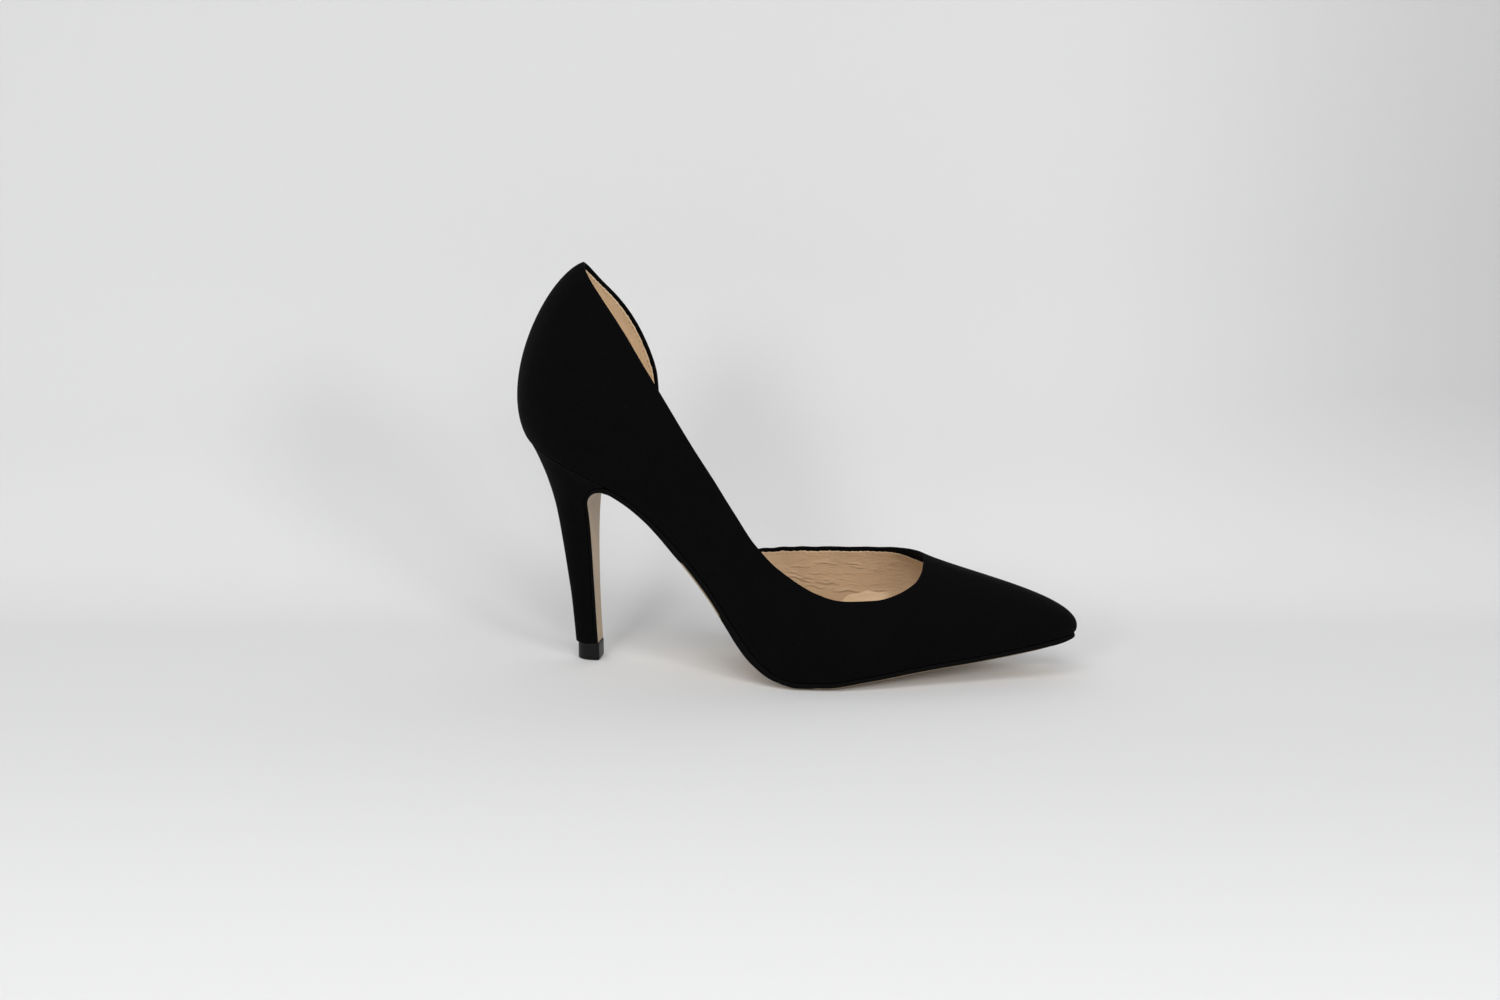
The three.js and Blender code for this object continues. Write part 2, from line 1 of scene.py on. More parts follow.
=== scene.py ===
import bmesh
import bpy
import math
import numpy as np
from mathutils import Matrix, Vector


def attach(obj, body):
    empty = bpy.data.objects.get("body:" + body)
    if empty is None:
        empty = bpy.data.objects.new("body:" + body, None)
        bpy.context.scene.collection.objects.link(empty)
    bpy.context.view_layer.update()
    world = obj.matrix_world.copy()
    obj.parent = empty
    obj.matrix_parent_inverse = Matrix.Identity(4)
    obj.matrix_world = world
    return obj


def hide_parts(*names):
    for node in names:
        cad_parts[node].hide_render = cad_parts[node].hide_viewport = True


bl_info = {
    "name": "Pump shoe",
    "version": (1, 0, 0),
    "blender": (4, 5, 0),
    "location": "3D View > Sidebar > Pump shoe",
    "description": "Builds a suede pump with a stiletto heel on its packed frame",
    "category": "Add Mesh",
}

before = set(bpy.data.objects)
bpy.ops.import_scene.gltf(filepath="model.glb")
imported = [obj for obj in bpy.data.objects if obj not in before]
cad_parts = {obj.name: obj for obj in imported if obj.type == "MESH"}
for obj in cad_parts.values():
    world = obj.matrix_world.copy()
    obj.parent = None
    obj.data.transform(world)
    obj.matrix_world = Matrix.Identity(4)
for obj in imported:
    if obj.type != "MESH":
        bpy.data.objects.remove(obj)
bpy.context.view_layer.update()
MM = 0.001

# The camera of the picture: degrees round the shoe and over the floor, the lens for a 36 mm sensor, and where
# it stands, in metres. The picture is 1500 by 1000.
CAMERA = {"azimuth": 9.0, "elevation": 13.0, "lens": 62.4, "place": (0.2328, -1.0364, 0.3131)}

# The sheet of paper, in metres and degrees: how far it lies before the shoe and to either side, where its bend
# starts behind the heel, the bend's radius, and the wall's slope and height.
PAPER = {"before": 2.6, "beside": 3.2, "bend_starts": 0.045, "bend": 0.16, "slope": 84.0, "wall": 2.5}
# The light that the room gives from all sides.
FILL = {"Color": (0.98, 0.985, 1.0, 1.0), "Strength": 0.44}
# The soft lights: energy in watts, size, degrees to the right of the camera, degrees up, and distance from the shoe.
LAMPS = (
    ("overhead light", 8.8, (1.3, 1.0), -12.0, 57.0, 1.8),
    ("front light", 3.5, (0.7, 0.5), 8.0, 25.0, 1.7),
    ("front right light", 3.9, (0.3, 0.3), 36.0, 21.0, 1.5),
    ("front left light", 4.1, (0.3, 0.3), -23.0, 20.0, 1.5),
)

# The last, in shares of its sizes. These are the part's own tables.
BOTTOM = {
    "reach": (0, 0.17, 0.205, 0.24, 0.28, 0.32, 0.36, 0.4, 0.44, 0.48, 0.52, 0.565, 0.64, 0.74, 0.84, 0.92, 1),
    "lift": (1, 0.803, 0.748, 0.675, 0.58, 0.472, 0.352, 0.217, 0.093, 0.0225, 0, 0, 0, 0, 0, 0, 0),
    "spring": (0, 0, 0, 0, 0, 0, 0, 0, 0, 0, 0, 0, 0.14, 0.36, 0.55, 0.74, 1),
}
OUTLINE = {
    "reach": (0, 0.1, 0.17, 0.25, 0.33, 0.4, 0.46, 0.52, 0.58, 0.65, 0.72, 0.8, 0.88, 0.94, 1),
    "outer": (0.97, 1, 0.94, 0.75, 0.69, 0.8, 0.93, 1, 0.99, 0.9, 0.76, 0.59, 0.42, 0.295, 0.17),
    "inner": (0.97, 1, 0.9, 0.66, 0.57, 0.67, 0.82, 0.94, 0.98, 0.92, 0.8, 0.635, 0.45, 0.315, 0.18),
    "curl": (0, 0, 0, 0, 0.1, 0.5, 0.9, 1, 1, 0.9, 0.75, 0.5, 0.3, 0.1, 0),
}
HEEL = {
    "drop": (0, 0.045, 0.1, 0.2, 0.35, 0.5, 0.65, 0.8, 1),
    "back": (0, 0.13, 0.255, 0.43, 0.615, 0.73, 0.83, 0.92, 1),
    "width": (1, 0.88, 0.72, 0.47, 0.245, 0.13, 0.065, 0.025, 0),
    "front": (0, 0.045, 0.1, 0.19, 0.33, 0.48, 0.635, 0.79, 1),
}
UPPER_COLUMNS = ("around", "reach", "side", "rise", "flare", "low", "lean", "high")
UPPER = (
    (0.0, 0.109, 0.0, 1.0, 51, 0.345, 50, 0.216),
    (0.03, 0.127, -0.42, 0.982, 50, 0.33, 47, 0.224),
    (0.06, 0.156, -0.62, 0.948, 44, 0.33, 37, 0.26),
    (0.09, 0.193, -0.76, 0.903, 35, 0.33, 30, 0.3),
    (0.125, 0.247, -0.87, 0.84, 24, 0.33, 18, 0.33),
    (0.165, 0.34, -0.82, 0.762, 26, 0.34, 14, 0.33),
    (0.2, 0.414, -0.8, 0.777, 26, 0.35, 14, 0.33),
    (0.225, 0.458, -0.81, 0.786, 24, 0.36, 14, 0.33),
    (0.25, 0.5, -0.82, 0.766, 22, 0.38, 16, 0.34),
    (0.28, 0.549, -0.825, 0.705, 20, 0.38, 20, 0.36),
    (0.31, 0.6, -0.8, 0.677, 18, 0.36, 22, 0.38),
    (0.345, 0.654, -0.72, 0.688, 16, 0.33, 22, 0.4),
    (0.38, 0.698, -0.56, 0.757, 16, 0.3, 20, 0.42),
    (0.42, 0.722, -0.36, 0.85, 18, 0.25, 16, 0.45),
    (0.46, 0.728, -0.18, 0.93, 30, 0.2, 11, 0.44),
    (0.5, 0.728, 0.0, 0.984, 36, 0.19, 9, 0.44),
    (0.54, 0.7265, 0.16, 1.002, 30, 0.2, 11, 0.44),
    (0.58, 0.717, 0.34, 0.982, 18, 0.25, 16, 0.45),
    (0.62, 0.695, 0.54, 0.9535, 16, 0.3, 20, 0.42),
    (0.655, 0.655, 0.72, 0.9083, 16, 0.33, 22, 0.4),
    (0.672, 0.632, 0.782, 0.8795, 16.7, 0.35, 21.4, 0.38),
    (0.69, 0.605, 0.83, 0.8605, 18, 0.36, 20, 0.36),
    (0.72, 0.55, 0.87, 0.804, 20, 0.38, 16, 0.34),
    (0.735, 0.5215, 0.867, 0.7705, 21.2, 0.37, 15, 0.335),
    (0.75, 0.49, 0.86, 0.7155, 22, 0.36, 14, 0.33),
    (0.7625, 0.459, 0.85, 0.6205, 22, 0.36, 13, 0.33),
    (0.775, 0.425, 0.83, 0.4575, 22, 0.35, 12, 0.33),
    (0.79, 0.382, 0.76, 0.209, 18, 0.33, 10, 0.33),
    (0.802, 0.354, 0.69, 0.115, 12, 0.33, 6, 0.33),
    (0.83, 0.29, 0.64, 0.088, 8, 0.33, 4, 0.33),
    (0.85, 0.246, 0.78, 0.105, 12, 0.33, 6, 0.33),
    (0.865, 0.228, 0.88, 0.22, 18, 0.33, 10, 0.33),
    (0.88, 0.2258, 0.92, 0.414, 22, 0.33, 14, 0.33),
    (0.9, 0.223, 0.88, 0.633, 24, 0.33, 24, 0.33),
    (0.925, 0.1938, 0.8, 0.82, 36, 0.33, 31, 0.3),
    (0.95, 0.1618, 0.66, 0.9, 44, 0.33, 38, 0.27),
    (0.975, 0.131, 0.45, 0.942, 50, 0.33, 47, 0.224),
)


def curve(table, key, name, turn=0):
    """A column of a table through every row with no overshoot, as the part has it."""
    xs = np.array(table[key], float)
    ys = np.array(table[name], float)
    if turn:
        xs = np.concatenate([[xs[-1] - turn], xs, xs[:2] + turn])
        ys = np.concatenate([[ys[-1]], ys, ys[:2]])
    step = np.diff(xs)
    slope = np.diff(ys) / step
    before, after = slope[:-1], slope[1:]
    p, q = 2 * step[1:] + step[:-1], step[1:] + 2 * step[:-1]
    flat = before * after <= 0
    inner = np.where(flat, 0, (p + q) / np.where(flat, 1, p / np.where(flat, 1, before) + q / np.where(flat, 1, after)))
    tangent = np.concatenate([[slope[0]], inner, [slope[-1]]])

    def value(at):
        place = np.clip(np.asarray(at, float), xs[0], xs[-1])
        i = np.clip(np.searchsorted(xs, place, side="left") - 1, 0, len(step) - 1)
        t = (place - xs[i]) / step[i]
        rest = 1 - t
        ends = ys[i] * rest * rest * (1 + 2 * t) + ys[i + 1] * t * t * (3 - 2 * t)
        return ends + (tangent[i] * rest - tangent[i + 1] * t) * step[i] * t * rest

    return value


def mix(a, b, share):
    return a + (b - a) * share


def ramp(value, low, high):
    t = np.clip((np.asarray(value, float) - low) / (high - low), 0, 1)
    return t * t * (3 - 2 * t)


def unit(vectors):
    return vectors / np.linalg.norm(vectors, axis=-1, keepdims=True)


def crossing(low, high, below):
    """The place between low and high where below stops being true."""
    for _ in range(40):
        middle = (low + high) / 2
        low, high = (middle, high) if below(middle) else (low, middle)
    return (low + high) / 2


def round_end(distance, radius):
    return np.sqrt(1 - (1 - np.clip(distance / radius, 0, 1)) ** 2)


def point_rows(x, y, z):
    return np.stack(np.broadcast_arrays(x, y, z), axis=-1)


class Last:
    """The shoe's last: its bottom, its edge and its walls, from the panel's sizes, in metres."""

    def __init__(self, s):
        self.s = s
        self.lift = curve(BOTTOM, "reach", "lift")
        self.spring = curve(BOTTOM, "reach", "spring")
        self.outer = curve(OUTLINE, "reach", "outer")
        self.inner = curve(OUTLINE, "reach", "inner")
        self.curled = curve(OUTLINE, "reach", "curl")
        rows = np.array(UPPER, float)
        table = {name: rows[:, i] for i, name in enumerate(UPPER_COLUMNS)}
        self.wall = {name: curve(table, "around", name, 1) for name in UPPER_COLUMNS[1:]}
        self.back_reach = table["reach"][0]
        self.front_reach = table["reach"][list(table["around"]).index(0.5)]

    def x(self, reach):
        return reach * self.s.bottom_reach - self.s.heel_setback

    def reach_at(self, x):
        return (x + self.s.heel_setback) / self.s.bottom_reach

    def z(self, reach):
        s = self.s
        base = s.sole_thickness + s.gap
        return base + self.lift(reach) * (s.seat_height - base) + self.spring(reach) * s.toe_spring

    def up(self, reach):
        low, high = np.clip(reach - 1e-3, 0, 1), np.clip(reach + 1e-3, 0, 1)
        return unit(point_rows(self.z(low) - self.z(high), 0.0, (high - low) * self.s.bottom_reach))

    def swing(self, reach):
        return self.s.toe_swing * ramp(reach, 0.45, 1)

    def half(self, reach):
        return mix(self.s.seat_width, self.s.ball_width, ramp(reach, 0.15, 0.42)) / 2

    def wide(self, reach, side):
        return np.where(np.asarray(side) < 0, self.outer(reach), self.inner(reach)) * self.half(reach)

    def back_end(self, inset):
        return inset / self.s.bottom_reach

    def toe_end(self, inset):
        return 1 - 1.8 * inset / self.s.bottom_reach

    def edge(self, reach, side, inset):
        s = self.s
        toe = round_end((self.toe_end(inset) - reach) * s.bottom_reach, s.toe_round)
        seat = round_end((reach - self.back_end(inset)) * s.bottom_reach, s.seat_round)
        return self.swing(reach) + side * (self.wide(reach, side) - inset) * toe * seat

    def across(self, reach, share, inset):
        """The place across the bottom at a share from -1 to 1 between its two edges."""
        return mix(self.edge(reach, -1.0, inset), self.edge(reach, 1.0, inset), (share + 1) / 2)

    def between(self, share, inset, back=1):
        """The reach at a share of the way from the back to the toe. It is set in at the toe and, with back, at
        the back."""
        full = (1 - np.cos(math.pi * share)) / 2
        return full + back * self.back_end(inset) * (1 - full) ** 4 - (1 - self.toe_end(inset)) * full ** 4

    def point(self, reach, y, height):
        """A point of the shoe's bottom, over the bottom line by height, with the edge's curl beside the ball."""
        side = y - self.swing(reach)
        across = np.abs(side) / self.wide(reach, side)
        lifted = np.clip((across - 0.62) / 0.38, 0, 1) ** 2 * self.curled(reach) * self.s.edge_lift
        base = point_rows(self.x(reach), y, self.z(reach))
        return base + self.up(reach) * np.asarray(height + lifted)[..., None]

    def rim(self, around, inset, height):
        around = np.asarray(around, float) % 1
        side = np.where(around < 0.5, -1.0, 1.0)
        reach = self.between(np.where(side < 0, 2 * around, 2 * (1 - around)), inset)
        return reach, self.point(reach, self.edge(reach, side, inset), height)

    def top(self, around):
        s = self.s
        reach = self.wall["reach"](around)
        share = (reach - self.back_reach) / (self.front_reach - self.back_reach)
        y = self.swing(reach) + self.wall["side"](around) * self.half(reach)
        rise = self.wall["rise"](around) * mix(s.counter_height, s.throat_height, share)
        return point_rows(self.x(reach), y, self.z(reach) + rise)

    def profile(self, around):
        """The four points that the wall's curve follows, and its chord's length, at each place around."""
        around = np.asarray(around, float) % 1
        at = {name: self.wall[name](around)[:, None] for name in ("flare", "low", "lean", "high")}
        reach, foot = self.rim(around, 0.0, 0.0)
        ahead, behind = self.rim(around + 2e-3, 0.0, 0.0)[1], self.rim(around - 2e-3, 0.0, 0.0)[1]
        up = self.up(reach)
        out = unit(np.cross(ahead - behind, up))
        top = self.top(around)
        length = np.linalg.norm(top - foot, axis=1, keepdims=True)
        chord = (top - foot) / length
        top_out = unit(out - chord * np.sum(out * chord, axis=1, keepdims=True))
        flare, lean = np.radians(at["flare"]), np.radians(at["lean"])
        low = foot + at["low"] * length * (up * np.cos(flare) + out * np.sin(flare))
        high = top + at["high"] * length * (top_out * np.sin(lean) - chord * np.cos(lean))
        return foot, low, high, top, length[:, 0]

    def outside(self, profile, shares):
        """Points up the wall's outside. shares is one row for all places, or a row for each place."""
        foot, low, high, top, _ = profile
        t = np.broadcast_to(shares, (len(foot), np.shape(shares)[-1]))[..., None]
        r = 1 - t
        spread = [p[:, None, :] for p in (foot, low, high, top)]
        return spread[0] * r ** 3 + spread[1] * 3 * r * r * t + spread[2] * 3 * r * t * t + spread[3] * t ** 3

    def facing(self, around, profile, shares):
        """The outward direction of the wall at the same points."""
        after, before = self.profile(around + 2e-3), self.profile(around - 2e-3)
        along = self.outside(after, shares) - self.outside(before, shares)
        rise = self.outside(profile, np.minimum(1, shares + 2e-3)) - self.outside(profile, np.maximum(0, shares - 2e-3))
        return unit(np.cross(along, rise))

    def stations(self, count):
        """Places around the shoe, closer where the bottom bends, at even steps of the two lines' length."""
        fine = np.linspace(0, 1, 6001)
        reach, foot = self.rim(fine, 0.0, 0.0)
        length = np.linalg.norm(np.diff(foot, axis=0), axis=1)
        length += np.linalg.norm(np.diff(self.top(fine % 1), axis=0), axis=1)
        length += 30 * MM * np.linalg.norm(np.diff(self.up(reach), axis=0), axis=1)
        total = np.concatenate([[0], np.cumsum(length)])
        return np.interp(np.arange(count) / count * total[-1], total, fine)


class Flap:
    """The leather that turns from the sole down the heel's front, and the heel that it lies on."""

    def __init__(self, last):
        s = last.s
        self.last = last
        self.foot_z = s.lift_height + s.gap
        self.start_reach = crossing(0.08, 0.32, lambda at: self.middle(at)[0] - s.breast_line - s.breast_round < 0)
        self.corner = self.middle(self.start_reach)
        up = last.up(np.array([self.start_reach]))[0]
        self.turned = math.atan2(up[2], up[0])
        self.bend = (math.pi - self.turned) * s.breast_round
        self.length = self.bend + self.corner[2] - self.foot_z
        self.lip = crossing(0.0, self.bend, lambda at: self.room(at) < 0)
        self.lip_reach = last.reach_at(self.heel_front(np.array([self.lip]))[0][0])
        self.width = curve(HEEL, "front", "width")

    def middle(self, reach):
        s = self.last.s
        where = np.array([reach])
        at = self.last.point(where, np.array([0.0]), -s.gap - s.sole_thickness)[0]
        return at - self.last.up(where)[0] * s.breast_round

    def room(self, length):
        """How far the heel's front lies under the last, past the gap and the heel's lip."""
        last, front = self.last, self.heel_front(np.array([length]))[0]
        reach = np.array([last.reach_at(front[0])])
        return (last.z(reach)[0] - front[2]) * last.up(reach)[0][2] - last.s.gap - last.s.heel_lip

    def face(self, length):
        """Points down the flap's visible face, and the direction from it into the heel."""
        s = self.last.s
        length = np.asarray(length, float)
        angle = self.turned + np.minimum(length, self.bend) / s.breast_round
        inward = point_rows(np.cos(angle), 0.0, np.sin(angle))
        down = np.clip((length - self.bend) / (self.length - self.bend), 0, 1)
        face = self.corner + inward * s.breast_round
        face[..., 2] = np.where(length > self.bend, mix(self.corner[2], self.foot_z, down), face[..., 2])
        face[..., 0] += s.breast_kick * down * down
        return face, inward

    def thickness(self, length):
        s = self.last.s
        return mix(s.sole_thickness, s.flap_thickness, ramp(length, 0, self.bend))

    def heel_front(self, length):
        face, inward = self.face(length)
        return face + inward * (self.thickness(length) + self.last.s.gap)[..., None]

    def seat_edge(self, side):
        return self.last.edge(np.array([self.lip_reach]), np.array([side]), self.last.s.sole_inset)[0]

    def half(self, share, side):
        return mix(side * self.last.s.heel_foot_width / 2, self.seat_edge(side), share)


# Materials. Colours are written as sRGB hex.
def srgb(text):
    values = [int(text[i:i + 2], 16) / 255 for i in (1, 3, 5)]
    return tuple(v / 12.92 if v <= 0.04045 else ((v + 0.055) / 1.055) ** 2.4 for v in values)


def tones(colour, *shares):
    """The colour made darker or lighter by each share, as a colour socket takes it."""
    return [tuple(min(1, c * k) for c in colour) + (1.0,) for k in shares]


def add(tree, kind, inputs=None, **settings):
    """Adds a node with its settings, and links or sets its inputs. An input that is a node is linked to the
    first output that the node shows."""
    node = tree.nodes.new(kind)
    for name, value in settings.items():
        setattr(node, name, value)
    for name, value in (inputs or {}).items():
        if isinstance(value, bpy.types.Node):
            value = next(output for output in value.outputs if output.enabled)
        if isinstance(value, bpy.types.NodeSocket):
            tree.links.new(value, node.inputs[name])
        else:
            node.inputs[name].default_value = value
    return node


def blank(name):
    """A new material, its empty tree, and the object's own coordinates."""
    material = bpy.data.materials.new(name)
    material.use_nodes = True
    tree = material.node_tree
    tree.nodes.clear()
    return material, tree, add(tree, "ShaderNodeTexCoord").outputs["Object"]


def with_output(material, shader):
    add(material.node_tree, "ShaderNodeOutputMaterial", {"Surface": shader})
    return material


def surface(material, colour, rough, bumps, **inputs):
    """Finishes a material. Each of its bumps is a height, a strength and a distance in metres, one on the other."""
    given = {"Base Color": colour, "Roughness": rough, "IOR": 1.5}
    given.update({name.replace("_", " "): value for name, value in inputs.items()})
    for height, strength, distance in bumps:
        below = {"Normal": given["Normal"]} if "Normal" in given else {}
        given["Normal"] = add(material.node_tree, "ShaderNodeBump", {
            "Height": height, "Strength": strength, "Distance": distance, **below})
    return with_output(material, add(material.node_tree, "ShaderNodeBsdfPrincipled", given))


def black_suede(colour, name="black kid suede"):
    """Kid suede, split and buffed. The eye sees a soft black with no gloss, a faint lighter nap where it was
    brushed, and a rim of sheen. The nap is about 0.3 mm, drawn at 0.6 mm so that it shows."""
    material, tree, where = blank(name)
    brushed = add(tree, "ShaderNodeTexNoise", {"Vector": where, "Scale": 55.0, "Detail": 3.0, "Roughness": 0.6})
    nap = add(tree, "ShaderNodeTexNoise", {"Vector": where, "Scale": 1600.0, "Detail": 2.0, "Roughness": 0.7})
    mottle = add(tree, "ShaderNodeTexNoise", {"Vector": where, "Scale": 320.0, "Detail": 4.0, "Roughness": 0.65})
    tone = add(tree, "ShaderNodeMath", {0: brushed, 1: 0.6}, operation="MULTIPLY")
    tone = add(tree, "ShaderNodeMath", {0: mottle, 1: 0.4, 2: tone}, operation="MULTIPLY_ADD")
    dark, light = tones(colour, 0.72, 1.4)
    shade = add(tree, "ShaderNodeMix", {"Factor": tone, "A": dark, "B": light}, data_type="RGBA")
    rough = add(tree, "ShaderNodeMapRange", {"Value": mottle, "To Min": 0.86, "To Max": 1.0})
    return surface(material, shade, rough, ((mottle, 0.25, 0.0003), (nap, 0.5, 0.0002)), IOR=1.45,
                   Specular_IOR_Level=0.05, Sheen_Weight=0.008, Sheen_Roughness=0.5,
                   Sheen_Tint=(0.85, 0.9, 1.0, 1.0))


def calf_leather(colour, name, creases=0.16, rough=(0.48, 0.62), coat=0.0):
    """Vegetable-tanned lining leather. It has a fine pore, soft creases that run along the wall, with painted
    shade in their hollows, and a dull waxed face that shines a little where it is smooth. Pores are about 0.4 mm
    apart. It is lighter by painted light where the mesh's attribute flat is set, and darker by painted shade in
    the folds, by its attribute fold."""
    material, tree, where = blank(name)
    unrolled = add(tree, "ShaderNodeUVMap", uv_map="surface")
    cloud = add(tree, "ShaderNodeTexNoise", {"Vector": where, "Scale": 60.0, "Detail": 5.0, "Roughness": 0.6})
    pores = add(tree, "ShaderNodeTexVoronoi", {"Vector": where, "Scale": 1500.0, "Randomness": 1.0})
    long = add(tree, "ShaderNodeMapping", {"Vector": unrolled, "Scale": (90.0, 330.0, 1.0), "Rotation": (0, 0, 0.1)})
    wavy = add(tree, "ShaderNodeTexNoise", {
        "Vector": long, "Scale": 1.0, "Detail": 4.0, "Roughness": 0.6, "Distortion": 0.8}, noise_dimensions="2D")
    folds = add(tree, "ShaderNodeMapRange", {"Value": wavy, "From Min": 0.42, "From Max": 0.56})
    stretch = add(tree, "ShaderNodeMapping", {"Vector": unrolled, "Scale": (160.0, 700.0, 1.0)})
    small = add(tree, "ShaderNodeTexNoise", {"Vector": stretch, "Scale": 1.0, "Detail": 2.0}, noise_dimensions="2D")
    flat, fold = [add(tree, "ShaderNodeAttribute", attribute_name=mark).outputs["Fac"] for mark in ("flat", "fold")]
    dark, light, crease_shade_tone, deep = tones(colour, 0.8, 1.14, 0.84, 0.5)
    # This lighter tint is painted light, for the flat and the quarter.
    pale = tuple(min(1, c * k) for c, k in zip(colour, (1.36, 1.47, 1.56))) + (1.0,)
    # Low along the crease lines the colour is darkened: painted shade.
    lines = add(tree, "ShaderNodeMath", {0: folds, 1: -creases, 2: creases}, operation="MULTIPLY_ADD")
    # The folds are darkened toward the deep tone by the mark fold: painted shade.
    shaded = add(tree, "ShaderNodeMath", {0: fold, 1: 0.75}, operation="MULTIPLY")
    shade = dark
    for share, tint in ((cloud, light), (lines, crease_shade_tone), (flat, pale), (shaded, deep)):
        shade = add(tree, "ShaderNodeMix", {"Factor": share, "A": shade, "B": tint}, data_type="RGBA")
    gloss = add(tree, "ShaderNodeMapRange", {"Value": cloud, "To Min": rough[0], "To Max": rough[1]})
    bumps = ((pores, 0.2, 0.00012), (small, 0.35, 0.0004), (folds, creases * 1.4, 0.0006))
    return surface(material, shade, gloss, bumps, Specular_IOR_Level=0.4, Coat_Weight=coat, Coat_Roughness=0.35)


def sole_leather(colour, name="burnished sole leather"):
    """Bend leather, rolled and burnished. It is smooth and tan, with a long faint fibre grain along the shoe
    and slightly darker clouds. Its bevel is darker, partly burnished and partly painted shade, by the mesh's
    attribute rim."""
    material, tree, where = blank(name)
    cloud = add(tree, "ShaderNodeTexNoise", {"Vector": where, "Scale": 45.0, "Detail": 6.0, "Roughness": 0.62})
    drawn = add(tree, "ShaderNodeMapping", {"Vector": where, "Scale": (90.0, 900.0, 240.0)})
    fibre = add(tree, "ShaderNodeTexNoise", {"Vector": drawn, "Scale": 1.0, "Detail": 4.0})
    both = add(tree, "ShaderNodeMath", {0: cloud, 1: fibre}, operation="MULTIPLY")
    tone = add(tree, "ShaderNodeMapRange", {"Value": both, "From Min": 0.1, "From Max": 0.42})
    rim = add(tree, "ShaderNodeAttribute", attribute_name="rim").outputs["Fac"]
    # The bevel's darker tone is partly burnished leather and partly painted shade.
    shade, light, burnished_and_shaded = tones(colour, 0.78, 1.16, 0.55)
    for share, tint in ((tone, light), (rim, burnished_and_shaded)):
        shade = add(tree, "ShaderNodeMix", {"Factor": share, "A": shade, "B": tint}, data_type="RGBA")
    gloss = add(tree, "ShaderNodeMapRange", {"Value": cloud, "To Min": 0.34, "To Max": 0.56})
    return surface(material, shade, gloss, ((fibre, 0.2, 0.0002),), Coat_Weight=0.12, Coat_Roughness=0.3)


def painted_edge(colour, name="edge ink on leather"):
    """Edge ink, brushed on the cut sole and polished. It is black with a soft uneven gloss."""
    material, tree, where = blank(name)
    strokes = add(tree, "ShaderNodeMapping", {"Vector": where, "Scale": (120.0, 120.0, 900.0)})
    uneven = add(tree, "ShaderNodeTexNoise", {"Vector": strokes, "Scale": 1.0, "Detail": 3.0})
    gloss = add(tree, "ShaderNodeMapRange", {"Value": uneven, "To Min": 0.65, "To Max": 0.85})
    dark, light = tones(colour, 0.8, 1.3)
    shade = add(tree, "ShaderNodeMix", {"Factor": uneven, "A": dark, "B": light}, data_type="RGBA")
    return surface(material, shade, gloss, ((uneven, 0.25, 0.0002),), Specular_IOR_Level=0.04)


def moulded_polyurethane(colour, name="moulded polyurethane"):
    """A moulded polyurethane top piece: dark grey, satin, with a faint moulded texture and scuffs low down."""
    material, tree, where = blank(name)
    skin = add(tree, "ShaderNodeTexNoise", {"Vector": where, "Scale": 1200.0, "Detail": 2.0})
    scuff = add(tree, "ShaderNodeTexNoise", {"Vector": where, "Scale": 260.0, "Detail": 5.0, "Roughness": 0.7})
    gloss = add(tree, "ShaderNodeMapRange", {"Value": scuff, "To Min": 0.26, "To Max": 0.52})
    dark, light = tones(colour, 0.85, 1.25)
    shade = add(tree, "ShaderNodeMix", {"Factor": scuff, "A": dark, "B": light}, data_type="RGBA")
    return surface(material, shade, gloss, ((skin, 0.12, 0.0001),), Specular_IOR_Level=0.18)


def waxed_thread(colour, name):
    """Bonded nylon thread, twisted. It has a soft shine and a fine twist across it."""
    material, tree, where = blank(name)
    twist = add(tree, "ShaderNodeTexWave", {"Vector": where, "Scale": 900.0, "Distortion": 2.0}).outputs["Fac"]
    dark, light = tones(colour, 0.8, 1.1)
    shade = add(tree, "ShaderNodeMix", {"Factor": twist, "A": dark, "B": light}, data_type="RGBA")
    return surface(material, shade, 0.5, ((twist, 0.3, 0.0001),))


def plain_paper(colour, name="studio paper"):
    """Seamless background paper: matt, with hardly any tone of its own. It grows lighter toward the front of
    the floor and darker toward the top and the right, as the light over a sheet of paper does. Its back is
    clear, so that the shoe is seen from behind too."""
    material, tree, where = blank(name)
    tooth = add(tree, "ShaderNodeTexNoise", {"Vector": where, "Scale": 3.0, "Detail": 2.0})
    dark, light = tones(colour, 0.99, 1.01)
    shade = add(tree, "ShaderNodeMix", {"Factor": tooth, "A": dark, "B": light}, data_type="RGBA")
    axes = add(tree, "ShaderNodeSeparateXYZ", {"Vector": where}).outputs
    raised = add(tree, "ShaderNodeMapRange", {"Value": axes["Z"], "From Max": 0.08})
    # The last value is the share of each change that holds: the right is darker on the wall alone.
    for axis, start, end, tone, holds in (
            ("Z", 0.07, 0.0, 1.1, 1.0), ("Y", -0.06, -0.34, 1.18, 1.0), ("Z", 0.1, 0.5, 0.9, 1.0),
            ("X", 0.16, 0.44, 0.76, raised)):
        share = add(tree, "ShaderNodeMapRange", {
            "Value": axes[axis], "From Min": start, "From Max": end}, interpolation_type="SMOOTHSTEP")
        share = add(tree, "ShaderNodeMath", {0: share, 1: holds}, operation="MULTIPLY")
        tint = tones(colour, tone)[0]
        shade = add(tree, "ShaderNodeMix", {"Factor": share, "A": shade, "B": tint}, data_type="RGBA")
    matt = add(tree, "ShaderNodeBsdfPrincipled", {"Base Color": shade, "Roughness": 0.95, "Specular IOR Level": 0.1})
    behind = add(tree, "ShaderNodeNewGeometry").outputs["Backfacing"]
    clear = add(tree, "ShaderNodeBsdfTransparent")
    return with_output(material, add(tree, "ShaderNodeMixShader", {0: behind, 1: clear, 2: matt}))


